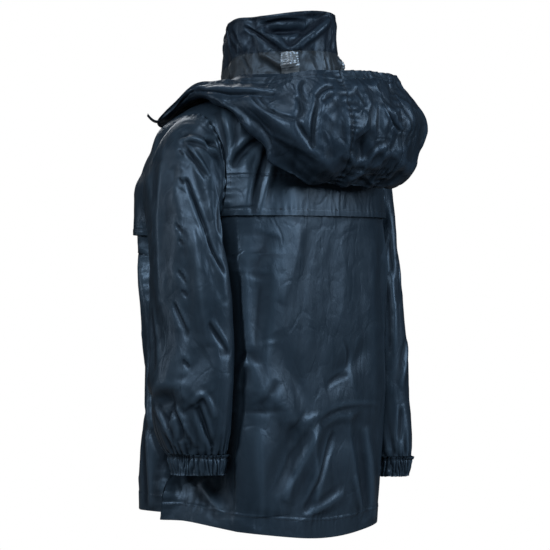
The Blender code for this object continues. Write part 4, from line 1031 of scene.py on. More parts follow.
def crease_line(tree, place, scale, narrow):
    """Thin straight grooves along some of the edges between cells; a noise hides the rest."""
    cells = node(tree, "ShaderNodeTexVoronoi", Vector=place, Scale=scale)
    cells.feature = "DISTANCE_TO_EDGE"
    groove = calc(tree, "MULTIPLY", cells.outputs["Distance"], narrow)
    groove.node.use_clamp = True
    hide = spread(tree, noise(tree, place, scale * 1.3, 0.0), 0.45, 0.56)
    return calc(tree, "MAXIMUM", groove, hide)


def cloth_normal(tree, own, uv, crinkle, weave):
    """Fine noise, plates, grooves and the weave, each a bump over the one before."""
    normal = bump(tree, noise(tree, own, 110.0, 3.0), crinkle, 0.4 * MM)
    tall = node(tree, "ShaderNodeMapping", Vector=own, Scale=(1.0, 1.0, 0.6)).outputs["Vector"]
    bent = noise(tree, own, 20.0, 1.0, "Color")
    place = calc(tree, "MULTIPLY_ADD", bent, (0.025,) * 3, tall, kind="VectorMath", result="Vector")
    heights = [(plates(tree, place, scale), depth) for scale, depth in CRINKLES]
    heights += [(crease_line(tree, place, scale, narrow), depth)
                for scale, narrow, depth in CREASE_LINES]
    for height, depth in heights:
        normal = bump(tree, height, crinkle, depth * MM, Normal=normal)
    threads = [node(tree, "ShaderNodeTexWave", Vector=uv, Scale=THREADS, Distortion=0.4)
               for _ in range(2)]
    for wave, direction in zip(threads, "XY"):
        wave.bands_direction = direction
    woven = calc(tree, "MULTIPLY", *(wave.outputs["Fac"] for wave in threads))
    return bump(tree, woven, weave, 0.08 * MM, Normal=normal)


def coated_cloth(name, dark, light, roughness, crinkle=0.35, weave=0.12, specular=0.3, coat=0.0):
    """dark is painted shade for the creases and light is painted light for the crests, with random
    tone between; roughness is a pair it wanders between.
    """
    material, tree, shader = new_material(name)
    place = node(tree, "ShaderNodeTexCoord").outputs
    own = place["Object"]
    attribute = node(tree, "ShaderNodeAttribute")
    attribute.attribute_name = "crest"
    crest = attribute.outputs["Fac"]
    # Painted light and shade: the colour is lighter where a point stands above its neighbours and
    # darker in its creases.
    crease_shade_crest_light = spread(tree, crest, -CREST, CREST, -0.1, 0.9)
    tone = calc(tree, "MULTIPLY_ADD", noise(tree, own, 14.0, 3.0), 0.25, crease_shade_crest_light)
    gloss = spread(tree, noise(tree, own, 38.0, 2.0), 0.3, 0.7, *roughness)
    dull = spread(tree, crest, -CREST, 0.0, 0.3, 0.0)
    filled(tree, shader, Base_Color=two_tones(tree, tone, dark, light),
           Roughness=calc(tree, "ADD", gloss, dull), Specular_IOR_Level=specular,
           Specular_Tint=(*SPECULAR_TINT, 1.0), Coat_Weight=coat, Coat_Roughness=COAT_ROUGHNESS,
           Normal=cloth_normal(tree, own, place["UV"], crinkle, weave))
    return material


PAINTED_CREASE_SHADE = (0.001, 0.003, 0.006)
NAVY = coated_cloth("navy_coated_nylon", PAINTED_CREASE_SHADE, (0.020, 0.034, 0.051),
                    (0.30, 0.41), crinkle=0.16, specular=0.38)
# Painted shade: the hood and the collar are the same navy nylon as the body, in darker copies.
HOOD_NAVY_SHADED = coated_cloth("hood_nylon_painted_shade", PAINTED_CREASE_SHADE, (0.015, 0.026, 0.041),
                         (0.30, 0.41), crinkle=0.40, specular=0.31)
COLLAR_NAVY_SHADED = coated_cloth("collar_nylon_painted_shade", (0.001, 0.002, 0.005), (0.011, 0.019, 0.030),
                           (0.30, 0.41), crinkle=0.35, specular=0.26)
GREY_SIDE = coated_cloth("grey_coated_side", (0.006, 0.008, 0.010), (0.020, 0.024, 0.028),
                         (0.34, 0.46), crinkle=0.3, specular=0.36)
SEAM_TAPE = coated_cloth("glossy_seam_tape", (0.035, 0.045, 0.055), (0.12, 0.14, 0.16),
                         (0.16, 0.26), crinkle=0.6, weave=0.02, specular=0.8, coat=0.5)
MATTE_TAPE = coated_cloth("matte_tape", (0.004, 0.005, 0.007), (0.012, 0.014, 0.018),
                          (0.55, 0.7), crinkle=0.2, weave=0.5)

# %% Thread and press studs
def thread_material(name, colour):
    """Spun polyester: dull, with a fine twist."""
    material, tree, shader = new_material(name)
    twist = noise(tree, node(tree, "ShaderNodeTexCoord").outputs["Object"], 900.0, 1.0)
    filled(tree, shader, Roughness=0.75, Specular_IOR_Level=0.25,
           Base_Color=two_tones(tree, twist, [c * 0.55 for c in colour], colour),
           Normal=bump(tree, twist, 0.4, 0.1 * MM))
    return material


def stud_material():
    """Burnished dark metal with fine turning marks and small wear."""
    material, tree, shader = new_material("burnished_stud")
    wear = noise(tree, node(tree, "ShaderNodeTexCoord").outputs["Object"], 420.0, 4.0)
    filled(tree, shader, Metallic=0.9, Roughness=spread(tree, wear, 0.0, 1.0, 0.2, 0.42),
           Base_Color=two_tones(tree, wear, (0.05, 0.055, 0.065), (0.22, 0.23, 0.25)))
    return material


THREAD = thread_material("navy_thread", (0.010, 0.015, 0.024))
STUD = stud_material()
print(len(bpy.data.materials), "materials")

# %% [markdown]
# ## Back body and yoke
# The back body hangs from a seam hidden under the yoke, whose lower edge is free. The deepest
# folds fall from the left armhole, where the hanging arm crowds the cloth, and the hem is
# turned up and stitched, which leaves a small step and a row of puckers.

# %% Folds drawn on the body: three (angle, height in mm) places, half-width, height, lean
PER_DEGREE = np.radians(1) * BODY_FOLD_RADIUS
BODY_LINES = (
    (75, -44, 66, -72, 62, -122, 3.2, 2.8, 0.6), (48, -87, 55, -96, 61, -122, 5.5, -4.8, 0.2),
    (44, -96, 48, -126, 52, -180, 5.5, -5, 0.3), (41, -102, 45, -138, 49, -184, 3, 1.8, 0.5),
    (57, -106, 55, -134, 55, -170, 5, 1.8, 0), (52, -424, 50, -486, 46, -548, 18, 6, 0.8),
    (19, -426, 14, -480, 8, -540, 17, 4.8, 0.6), (-20, -426, -24, -484, -30, -548, 11, 3, -0.4),
    (40, -440, -6, -416, -50, -424, 20, 2.8, 0.8), (58, -396, 44, -408, 30, -436, 16, 3, 0.7),
    (43, -204, 48, -232, 52, -260, 11, -2.6, 0), (48, -252, 51, -312, 54, -366, 11, -2.8, -0.3),
    (54, -205, 55, -274, 58, -350, 9, 2.2, 0.2), (59, -250, 60, -322, 61, -392, 9, -2, 0),
    (63, -400, 57, -364, 52, -400, 5, 1.6, -0.5), (43, -386, 47, -403, 52, -418, 6, -1.4, 0.3),
    (2, -392, -8, -384, -19, -380, 4, -1.4, 0.5), (-14, -338, -19, -356, -18, -374, 3, -1.2, 0.4),
    (11, -434, -15, -420, -48, -424, 3.5, -0.7, -0.6), (12, -446, -9, -430, -24, -430, 4, 1, 0),
    (10, -438, 24, -482, 35, -528, 7, 3.4, 0.7), (-7, -446, 6, -490, 20, -540, 6, -2.6, 0.4),
    (-37, -446, -41, -506, -46, -562, 6, 2.6, 0.5), (-25, -502, -31, -528, -36, -550, 5, 2, 0.5),
    (-17, -520, 1, -532, 21, -544, 5, 2, 0.6), (-38, -210, -40, -312, -44, -414, 12, 1, 0.3),
    (26, -190, 30, -238, 40, -290, 10, 1.4, -0.4), (-9, -192, -13, -262, -7, -326, 12, 1, 0.3),
    (-50, -186, -56, -250, -58, -330, 8, 3, -0.5), (-60, -240, -57, -330, -62, -400, 7, -3, 0),
    (-30, -330, -22, -372, -27, -410, 6, 0.9, 0.5), (-52, -132, -57, -160, -60, -190, 6, -2, 0),
    (112, -414, 108, -486, 106, -554, 5, 3, 0.6), (130, -416, 104, -466, 101, -506, 5, -3, 0),
    (84, -520, 74, -538, 65, -550, 5, 2.6, 0.6), (101, -516, 97, -534, 91, -546, 6, 2, 0),
    (-82, -500, -76, -530, -84, -556, 6, 2.4, 0.5), (118, -90, 124, -150, 127, -196, 6, 2.4, 0.5),
    (-116, -86, -122, -150, -130, -196, 6, 2.4, -0.5), (112, -214, 116, -300, 121, -372, 7, 2.6, 0.5),
    (-112, -226, -115, -318, -122, -410, 6, 2.8, -0.5), (131, -206, 134, -262, 138, -318, 4, -2.4, 0),
    (-134, -206, -137, -280, -144, -352, 4.5, -2.6, 0), (148, -330, 144, -410, 138, -500, 6, 2.6, 0.6),
    (-150, -300, -146, -390, -137, -478, 6, 2.8, -0.6), (160, -212, 157, -250, 152, -290, 4, 1.8, 0.4),
    (-161, -390, -158, -452, -150, -520, 5, 2.4, -0.5), (124, -452, 127, -500, 129, -556, 5, 2.6, 0.5),
    (-126, -470, -124, -515, -121, -556, 5, 2.4, 0.5),
    (-108, -430, -106, -490, -104, -550, 6, 2.6, 0.5),
)
HEM_TURN = 22.0 * MM              # the hem is turned up this much
HEM_STEP = 0.5 * MM               # and stands out by its extra layers
BODY_ROUGH, FRONT_ROUGHER = 0.2, 0.3    # strength of the crumple, and more of it in front


def side_distance(angle, v, towards_front):
    """Distance along the cloth from a body piece's side seam or armhole."""
    return np.abs(np.abs(angle) - side_edge(v, towards_front)) * PER_DEGREE


def body_relief(angle, v, points, towards_front, hem):
    """Drawn folds, crumple, side-seam puckers, and the step and puckers of the hem."""
    total = fold_lines(angle, v, PER_DEGREE, MM, BODY_LINES)
    rough = BODY_ROUGH + FRONT_ROUGHER * smooth_step(95, 115, np.abs(angle))
    total += crumple(points, rough, (1.0, 1.0, 0.3))
    total += puckers("side seam", side_distance(angle, v, towards_front), v)
    above = v - hem - HEM_TURN
    total += HEM_STEP * smooth_step(1.2 * MM, -1.2 * MM, above)
    return total + puckers("hem", above, angle * PER_DEGREE)


# %% Back body
STEP = 2.5 * MM                   # distance between rows and between columns
HEM_ROW = HEM_HEIGHT + HEM_TURN


def body_grid(heights, first, last, step):
    """Angles and heights of a body piece whose sides run from angles first to last."""
    count = int(np.ceil(np.abs(last - first).max() * PER_DEGREE / step)) + 1
    angle = first[:, None] + (last - first)[:, None] * np.linspace(0, 1, count)
    return angle, np.repeat(heights[:, None], count, axis=1)


def make_back():
    heights = rows_between(YOKE_SEAM, HEM_HEIGHT, STEP, close=(HEM_ROW,))
    edge = side_edge(heights, False)
    angle, v = body_grid(heights, -edge, edge, STEP)
    points = body(angle, v)
    relief = body_relief(angle, v, points, False, HEM_HEIGHT)
    cloth_piece("back_panel", points, relief, NAVY)


make_back()

# %% Back yoke, with its free edge
YOKE_TOPSTITCH = 7.5 * MM         # above the free edge
THROUGH_SEAM = YOKE_SEAM + 2.0 * MM
EDGE_STRIP, EDGE_WAVE = 0.4 * MM, 1.4 * MM    # the flap's thicker edge, and how far it waves
SEAM_FURROW, SEAM_FURROW_WIDTH, SEAM_WELT = 0.7 * MM, 1.6 * MM, 0.5 * MM
UNDER_HOOD_LOW, UNDER_HOOD_HIGH = -0.09, -0.05    # the yoke lies smooth where the hood rests on it


def yoke_relief(angle, v, points, edge_height, towards_front):
    """The body's relief, a thicker edge strip, a stitched furrow and a slight wave."""
    total = body_relief(angle, v, points, towards_front, HEM_HEIGHT)
    above = v - edge_height
    total += EDGE_STRIP * smooth_step(YOKE_TOPSTITCH + 0.8 * MM, YOKE_TOPSTITCH - 0.8 * MM, above)
    total += puckers("yoke edge", above - YOKE_TOPSTITCH, angle * PER_DEGREE)
    wave = lattice_noise(np.stack((angle * PER_DEGREE / 0.045, 0 * v, 0 * v), axis=-1), 72)
    return total + EDGE_WAVE * wave * smooth_step(0.030, 0.0, above)


def make_back_yoke():
    stitch = YOKE_EDGE_BACK + YOKE_TOPSTITCH
    heights = rows_between(NECK_HEIGHT, YOKE_EDGE_BACK, STEP, close=(THROUGH_SEAM, stitch))
    edge = side_edge(heights, False)
    angle, v = body_grid(heights, -edge, edge, STEP)
    points = body(angle, v, flap_lift(heights, angle, YOKE_SEAM))
    relief = yoke_relief(angle, v, points, YOKE_EDGE_BACK, False)
    seam = v - THROUGH_SEAM
    relief = relief - SEAM_FURROW * np.exp(-(seam / SEAM_FURROW_WIDTH) ** 2)
    relief += SEAM_WELT * smooth_step(-6 * MM, -1 * MM, seam) * smooth_step(5 * MM, 1 * MM, seam)
    relief += puckers("yoke seam", seam, angle * PER_DEGREE)
    under_hood = smooth_step(UNDER_HOOD_LOW, UNDER_HOOD_HIGH, v) * smooth_step(45, 35, np.abs(angle))
    relief = relief * (1 - under_hood)
    cloth_piece("back_yoke", points, relief, NAVY,
                gaps=FREE_EDGE)


make_back_yoke()

# %% [markdown]
# ## Fronts, front yokes and storm flap
# The fronts mirror the back's construction. The storm flap covers the closure from hem to
# collar; its long edges are turned in and stitched, and six press studs hold it shut.

# %% Fronts and front yokes
FRONT_STEP = 3.5 * MM
CALM_RELIEF = 0.4 * MM            # nothing under the storm flap stands out more than this


def front_grid(side, top, bottom, stitch):
    """Row heights, angles and heights of a front piece, from its side edge to centre front."""
    heights = rows_between(top, bottom, FRONT_STEP, close=(stitch,))
    edge = side_edge(heights, True)
    angle, v = body_grid(heights, edge, np.full_like(edge, 180.0), FRONT_STEP)
    return heights, angle if side == "left" else -angle[:, ::-1], v


def under_storm_flap(relief, angle):
    """The relief, held down where the storm flap lies on it."""
    share = smooth_step(24.0, 14.0, 180 - np.abs(angle))
    return relief + (np.minimum(relief, CALM_RELIEF) - relief) * share


def make_front(side):
    hem = HEM_HEIGHT + FRONT_HEM_RISE
    _, angle, v = front_grid(side, FRONT_YOKE_SEAM, hem, hem + HEM_TURN)
    points = body(angle, v)
    relief = under_storm_flap(body_relief(angle, v, points, True, hem), angle)
    cloth_piece("front_" + side, points, relief, NAVY)


def make_front_yoke(side):
    heights, angle, v = front_grid(side, NECK_HEIGHT, YOKE_EDGE_FRONT,
                                   YOKE_EDGE_FRONT + YOKE_TOPSTITCH)
    points = body(angle, v, flap_lift(heights, angle, FRONT_YOKE_SEAM))
    relief = under_storm_flap(yoke_relief(angle, v, points, YOKE_EDGE_FRONT, True), angle)
    cloth_piece("front_yoke_" + side, points, relief, NAVY,
                gaps=FREE_EDGE)


for side in SIDES:
    make_front(side)
    make_front_yoke(side)

# %% Storm flap
STORM_BEND = 4.0 * MM
STORM_COLLAR_TOP, STORM_COLLAR_FOOT = 0.97, 0.08


def make_storm_flap():
    """One strip: down the collar's front, then over the yokes and fronts to the hem."""
    heights = rows_between(NECK_HEIGHT - STORM_BEND, HEM_HEIGHT + FRONT_HEM_RISE, FRONT_STEP,
                           close=(HEM_ROW + FRONT_HEM_RISE,))
    across = np.linspace(-1, 1, 21)[None, :]
    half = storm_half_angle(heights)[:, None]
    v = np.repeat(heights[:, None], across.size, axis=1)
    low = body(180 + across * half, v, storm_lift(heights)[:, None])
    rises = np.linspace(STORM_COLLAR_TOP, STORM_COLLAR_FOOT, 16)[:, None]
    angle = 180 + across * storm_half_angle(np.array([NECK_HEIGHT]))
    high = collar(angle, rises, lift=STORM_LIFT_HIGH - STORM_COLLAR_CLOSER)
    points = np.concatenate((high, low))
    down = lengths(points, 0)
    edge = (1 - np.abs(across)) * STORM_HALF_WIDTH
    relief = crumple(points, 0.35) + 0.35 * MM * smooth_step(6.5 * MM, 5.0 * MM, edge)
    relief += puckers("storm flap edge", edge - 5.5 * MM, down)
    cloth_piece("storm_flap", points, relief, NAVY,
                gaps=(0.0,) * 4)


make_storm_flap()

# %% [markdown]
# ## Sleeves and cuffs
# Each sleeve has a back and a front half. The head seam puckers where it is eased into the
# armhole; long creases run from there down to the elbow. Above the cuff the sleeve is gathered:
# the same wave that pleats the cuff dies away up the arm.

# %% Folds drawn on the sleeves: (angle round the arm, station) places
SLEEVE_LINES = {
    "left": (
        (92, 1.70, 66, 1.42, 43, 1.00, 3.2, 2.8, -0.8), (50, 1.14, 44, 0.86, 38, 0.52, 4, -5, 0),
        (47, 1.26, 37, 0.94, 27, 0.50, 3, 2.4, -0.6), (83, 1.68, 56, 1.80, 32, 1.88, 3.4, 3, -0.8),
        (79, 1.90, 60, 2.04, 38, 2.08, 3.2, -3.6, 0), (70, 2.60, 53, 2.98, 34, 3.36, 4.2, -5.6, 0),
        (37, 3.30, 22, 3.60, 2, 3.66, 3.6, -4.4, 0), (134, 1.50, 127, 2.60, 130, 3.50, 10, -2.4, 0),
        (4, 1.90, 7, 2.50, 11, 3.00, 4, -2.2, 0), (138, 6.42, 90, 6.00, 56, 6.42, 18, 8, -0.95),
        (84, 6.48, 68, 6.92, 53, 7.70, 3.6, 3, 0), (90, 6.44, 76, 6.92, 80, 7.50, 3.8, -4.4, 0),
        (50, 6.44, 40, 6.88, 25, 7.70, 4.4, -5, 0), (55, 6.46, 40, 6.20, 23, 6.70, 3, 2.6, -0.5),
        (122, 6.50, 104, 6.96, 91, 7.70, 3.4, 2.4, 0.4), (88, 1.92, 83, 1.97, 79, 2.04, 1.9, -2, 0.5),
        (80, 2.66, 76, 2.69, 72, 2.76, 1.9, -2, 0.5), (80, 3.52, 75, 3.55, 69, 3.62, 1.9, -2.2, 0.5),
        (76, 3.74, 72, 3.76, 68, 3.80, 1.9, -1.8, 0.5), (78, 4.24, 72, 4.30, 66, 4.39, 2, -2.2, 0.5),
        (74, 4.54, 69, 4.56, 64, 4.60, 1.9, -1.8, 0.5), (84, 4.74, 77, 4.92, 68, 5.10, 2.2, -2.4, 0.5),
        (70, 5.60, 65, 5.64, 60, 5.72, 1.9, -2.2, 0.5), (112, 2.1, 110, 3.5, 108, 4.8, 8, 2.2, 0.4),
        (54, 3.4, 46, 4.4, 36, 5.3, 8, 2.4, -0.4), (82, 4.76, 70, 5.08, 62, 5.2, 3.5, -1.6, 0.4),
        (35, 4.9, 18, 5.08, -2, 5.2, 4.5, -2.8, 0.6), (18, 5.36, 4, 5.28, -10, 5.2, 3.5, -1.6, 0),
        (142, 4.7, 125, 5.3, 108, 5.8, 6, -2.2, 0.4), (150, 1.6, 132, 2.6, 122, 3.8, 8, 2.4, 0.5),
        (176, 2.8, 160, 3.8, 168, 4.9, 8, -2.6, 0.4), (190, 5.2, 160, 5.9, 140, 6.2, 7, 3, -0.6),
        (215, 3.2, 200, 4.2, 210, 5.4, 7, 2, 0.4), (8, 1.6, 2, 2.4, 6, 3.2, 6, 2, 0.5),
    ),
    "right": (
        (94, 1.5, 64, 1.25, 34, 1, 4.5, 2.8, 0.7), (80, 1.9, 52, 2.1, 30, 2.4, 5, -2.6, 0.5),
        (-13, 2.5, -10, 3.1, -7, 3.6, 5, -2, 0), (-13, 3.4, -12, 4.3, -13, 5.2, 5, 2.4, 0.5),
        (60, 2.8, 46, 3.5, 20, 4.1, 6, -3, -0.6), (104, 2.2, 108, 3.4, 102, 4.7, 8, 2.4, 0.4),
        (64, 4.3, 52, 5, 58, 5.8, 7, 2.2, -0.5), (-10, 6.4, -17, 6.9, -22, 7.4, 4.5, -2.4, 0.5),
        (120, 6.2, 88, 5.9, 40, 6.3, 6, 3.2, -0.7), (70, 6.4, 62, 6.9, 56, 7.6, 3.5, -2.2, 0),
        (96, 6.5, 92, 7, 88, 7.6, 3.5, 2, 0), (30, 5.2, 10, 5.5, -8, 5.9, 5, 2.4, 0.6),
        (150, 1.8, 138, 2.8, 126, 3.9, 8, 2.4, 0.5), (180, 3, 166, 4, 172, 5, 8, -2.6, 0.4),
        (196, 5.1, 166, 5.8, 146, 6.3, 7, 3, -0.6),
    ),
}
SLEEVE_PER_DEGREE = np.radians(1) * SLEEVE_FOLD_RADIUS
PLEATS_ROUND = 27                 # pleats round a cuff
GATHER_HEIGHT, GATHER_REACH = 3.0 * MM, 0.030    # how far up the sleeve the gathers run
BULGE_WAVES, BULGE_HEIGHT, BULGE_REACH = 5.5, 4.5 * MM, 0.040    # broad folds over the gathers
HEAD_EASE, CUFF_CALM = 6 * MM, 20 * MM    # drawn folds fade in and out over these lengths
FACING_SPREAD, FACING_CALM = 45, 0.6      # degrees of the side that faces the body; less relief


def gather_wave(beta, seed, pleats=PLEATS_ROUND):
    """Narrow uneven ridges round the arm, from -0.4 to 0.6."""
    turn = np.radians(beta)
    phase = pleats * turn + 1.8 * np.sin(3 * turn + seed) + 1.3 * np.sin(7 * turn + 2 * seed)
    size = 0.75 + 0.25 * np.sin(5 * turn + seed)
    return size * (np.abs(np.sin(phase / 2 + 0.2)) ** 0.8 - 0.6)


def sleeve_relief(side, beta, station, points):
    """Drawn folds, crumple, eased head seam, seam puckers, and the gathers above the cuff."""
    around = np.mod(beta + 100, 360) - 100
    down = station * SLEEVE_STATION_LENGTH
    total = fold_lines(around, down, SLEEVE_PER_DEGREE, SLEEVE_STATION_LENGTH, SLEEVE_LINES[side])
    total += crumple(points, 0.45, (1.0, 1.0, 0.6))
    total += puckers("sleeve head", down - 3 * MM, around * SLEEVE_PER_DEGREE)
    for seam in (outer_seam(station), under_seam(station)):
        off = np.abs(np.mod(around - seam + 180, 360) - 180) * SLEEVE_PER_DEGREE
        total += puckers("sleeve seam", off, down)
    total = total * smooth_step(0.0, HEAD_EASE, down)
    facing_body = sum(np.exp(-((around - middle) / FACING_SPREAD) ** 2) for middle in (-90, 270))
    total = total * (1 - FACING_CALM * facing_body)
    up = (SLEEVE_END - station) * SLEEVE_STATION_LENGTH
    total = total * smooth_step(0.0, CUFF_CALM, up)
    turn = np.radians(beta)
    wide = np.abs(np.sin(BULGE_WAVES * turn + 0.7 * np.sin(2 * turn + 1) + up / 0.09)) ** 0.8 - 0.55
    total += BULGE_HEIGHT * wide * np.exp(-up / BULGE_REACH) * smooth_step(0.0, 12 * MM, up)
    return total + GATHER_HEIGHT * gather_wave(beta, 1.0) * np.exp(-up / GATHER_REACH)


# %% Sleeve halves
SLEEVE_STEP = {"left": 2.2 * MM, "right": 3.2 * MM}
SLEEVE_POINTS = {"left": 96, "right": 68}    # points round each half


def on_side(values, side, flip=True):
    """Left values as they are; for the right, their columns turned round and points mirrored."""
    if side == "left":
        return values
    return (values * np.array((-1.0, 1.0, 1.0)) if values.shape[-1] == 3 and flip else values)[:, ::-1]


def make_sleeve(side):
    pose = SLEEVE_POSE[side]
    stations = rows_between(0.0, SLEEVE_END, SLEEVE_STEP[side] / SLEEVE_STATION_LENGTH)
    inset = 0.5 * MM * (1 - smooth_step(RISE_STATION, 1.0, stations))
    for half, first, last in (("back", under_seam(stations), outer_seam(stations)),
                              ("front", outer_seam(stations), under_seam(stations) + 360)):
        count = SLEEVE_POINTS[side]
        beta = first[:, None] + (last - first)[:, None] * np.linspace(0, 1, count)
        station = np.repeat(stations[:, None], count, axis=1)
        points = sleeve(beta, station, pose, np.repeat(inset[:, None], count, axis=1))
        mirror = np.array((1.0 if side == "left" else -1.0, 1.0, 1.0))
        relief = sleeve_relief(side, beta, station, points * mirror)
        cloth_piece("sleeve_%s_%s" % (side, half), on_side(points, side), on_side(relief, side, False),
                    NAVY,
                    gaps=(0.0, 0.1 * MM, 0.02 * MM, 0.02 * MM))


for side in SIDES:
    make_sleeve(side)

# %% Cuffs: an elastic casing, gathered
CUFF_DEPTH = 26.0 * MM
CUFF_PLEATS = 43                  # finer than the sleeve's gathers
CUFF_SQUEEZE = 0.96
CUFF_GROOVES = ((0.035, 0.16, 0.06), (0.02, 0.9, 0.05))    # depth, place down the cuff, width
CUFF_POINTS, CUFF_RINGS = 400, 15
CUFF_PLEAT_HEIGHT, CUFF_CRUMPLE = 5.0 * MM, 1.6


def make_cuff(side):
    """A ring that follows the sleeve's end, pulled in by its elastic and pleated by a wave."""
    pose = SLEEVE_POSE[side]
    count, rows = CUFF_POINTS, CUFF_RINGS
    beta = np.arange(count) * 360.0 / count
    foot = sleeve_ellipse(beta, np.full(count, SLEEVE_END), pose)
    middle = foot.mean(axis=0)
    share = np.linspace(0, 1, rows)[:, None]
    squeeze = 1 - (1 - CUFF_SQUEEZE) * smooth_step(0.0, 0.25, share)
    for depth, place, width in CUFF_GROOVES:
        squeeze = squeeze - depth * np.exp(-((share - place) / width) ** 2)
    points = middle + (foot - middle) * squeeze[..., None]
    points[..., 2] = foot[..., 2] - share * CUFF_DEPTH - 0.4 * MM
    turn = np.radians(beta)
    wander = beta + 4.0 * np.sin(4 * turn) * share + 1.6 * np.sin(17 * turn + 5 * share)
    wave = gather_wave(wander, 1.0, CUFF_PLEATS) * (1 - 0.45 * np.exp(-((share - 0.16) / 0.07) ** 2))
    uneven = 0.55 + 0.9 * lattice_noise(points / 0.008, 110)
    relief = CUFF_PLEAT_HEIGHT * wave * uneven + crumple(points, CUFF_CRUMPLE)
    cloth_piece("cuff_" + side, on_side(points, side), on_side(relief, side, False), NAVY,
                thickness=0.8 * MM, closed=True)


for side in SIDES:
    make_cuff(side)

# %% [markdown]
# ## Collar
# The stand has two bands. The lower one shows the grey coated side, with a glossy tape over
# each of its two seams; the upper one is soft navy and folds in at the back, so that a dark
# hollow opens at its top and two creases run down to meet at the band seam.

# %% Folds drawn on the collar: (angle, rise) places
COLLAR_RUN = 0.084                # the collar's height in metres, for rise
COLLAR_PER_DEGREE = np.radians(1) * 0.073
COLLAR_CRUMPLE, COLLAR_RIM = 1.1, 0.3 * MM
COLLAR_LINES = (
    (74, 0.80, 58, 0.60, 41, 0.37, 3.6, 4.2, 0.9), (90, 0.84, 74, 0.70, 60, 0.54, 3, -2.6, 0.5),
    (41, 0.37, 22, 0.55, -16, 0.90, 3.8, 4.2, -0.9), (68, 0.74, 46, 0.70, 20, 0.70, 5.5, -5, 0.3),
    (76, 0.88, 48, 0.95, 16, 0.87, 3, 2.4, 0.4), (58, 0.62, 40, 0.56, 24, 0.62, 4, 1.8, 0.5),
    (108, 0.92, 98, 0.66, 90, 0.42, 5, 2.2, 0.6), (-31, 0.92, -24, 0.66, -18, 0.42, 4, -1.8, 0.4),
    (122, 0.98, 120, 0.80, 112, 0.60, 3.4, -2.6, 0.6), (118, 0.78, 104, 0.60, 100, 0.42, 3.4, 2, 0.6),
    (72, 0.37, 59, 0.26, 46, 0.10, 4, 2.4, 0.6), (95, 0.33, 88, 0.19, 82, 0.05, 2.6, -2, 0.5),
    (17, 0.30, 13, 0.20, 11, 0.07, 2.2, -1.2, 0.5), (-3, 0.30, -4, 0.21, -7, 0.08, 2.2, -1.2, 0.5),
    (-28, 0.30, -33, 0.22, -37, 0.08, 3, 1.6, 0.5), (116, 0.34, 113, 0.22, 108, 0.06, 3, 1.6, 0.5),
    (-60, 0.90, -66, 0.66, -58, 0.42, 5, 2, 0.5), (-96, 0.86, -88, 0.60, -94, 0.42, 5, -1.8, 0.5),
    (-74, 0.34, -78, 0.20, -72, 0.06, 3, 1.6, 0.5), (140, 0.90, 146, 0.60, 138, 0.20, 5, 1.8, 0.5),
    (-142, 0.90, -136, 0.55, -144, 0.18, 5, 1.8, -0.5),
)


def collar_relief(angle, rise, points):
    """Drawn folds, crumple, and puckers along the band seam and the neck seam."""
    run = angle * COLLAR_PER_DEGREE
    total = fold_lines(angle, rise * COLLAR_RUN, COLLAR_PER_DEGREE, COLLAR_RUN, COLLAR_LINES)
    total += crumple(points, COLLAR_CRUMPLE)
    from_seam = (rise - COLLAR_BAND_SHARE) * COLLAR_RUN
    total += puckers("collar band", from_seam, run)
    front = smooth_step(162, 156, np.abs(angle))
    return total * front + COLLAR_RIM * smooth_step(0.95, 0.96, rise)


def make_collar():
    for node_name, low, high, close, material, slot in (
            ("collar_lower", 0.0, COLLAR_BAND_SHARE, (), GREY_SIDE, "coated_grey"),
            ("collar_upper", COLLAR_BAND_SHARE, 1.0, (0.955,), COLLAR_NAVY_SHADED, "navy_cloth")):
        rises = rows_between(high, low, 1.9 * MM / COLLAR_RUN, close=close, fine=0.008, reach=0.03)
        angles = np.linspace(-COLLAR_FRONT_ANGLE, COLLAR_FRONT_ANGLE, 230)
        angle, rise = np.meshgrid(angles, rises)
        points = collar(angle, rise)
        cloth_piece(node_name, points, collar_relief(angle, rise, points), material,
                    gaps=(0.1 * MM if high < 1 else 0.0, 0.1 * MM, 0.0, 0.0),
                    thickness=1.0 * MM)


make_collar()

# %% Glossy tape over the lower band's two seams
TAPE_HALF = 8.5                   # degrees


def make_collar_tape(side):
    """A strip that follows the band's swell, 0.4 mm above it, with rungs across it."""
    sign = 1 if side == "left" else -1
    middle = sign * COLLAR_TAPE_ANGLE
    angle, rise = np.meshgrid(np.linspace(middle - TAPE_HALF, middle + TAPE_HALF, 21),
                              np.linspace(0.355, 0.02, 44))
    points = collar(angle, rise)
    base = collar_relief(angle, rise, points)
    off = (angle - middle) / TAPE_HALF
    rungs = puckers("tape rungs", off * 6 * MM, rise * COLLAR_RUN + off * 1.5 * MM)
    cloth_piece(None, points, base + 0.5 * MM + rungs, SEAM_TAPE,
                gaps=(0.0,) * 4, thickness=0.4 * MM, name="collar_tape_" + side)


for side in SIDES:
    make_collar_tape(side)

# %% [markdown]
# ## Hood
# The hood hangs down the back as an open bag. Its face edge has a casing, gathered at the
# middle by elastic; a centre strip runs between the two side pieces, with a seam across it.
# Over each shoulder the side piece narrows into a wing that ends in a short tape.

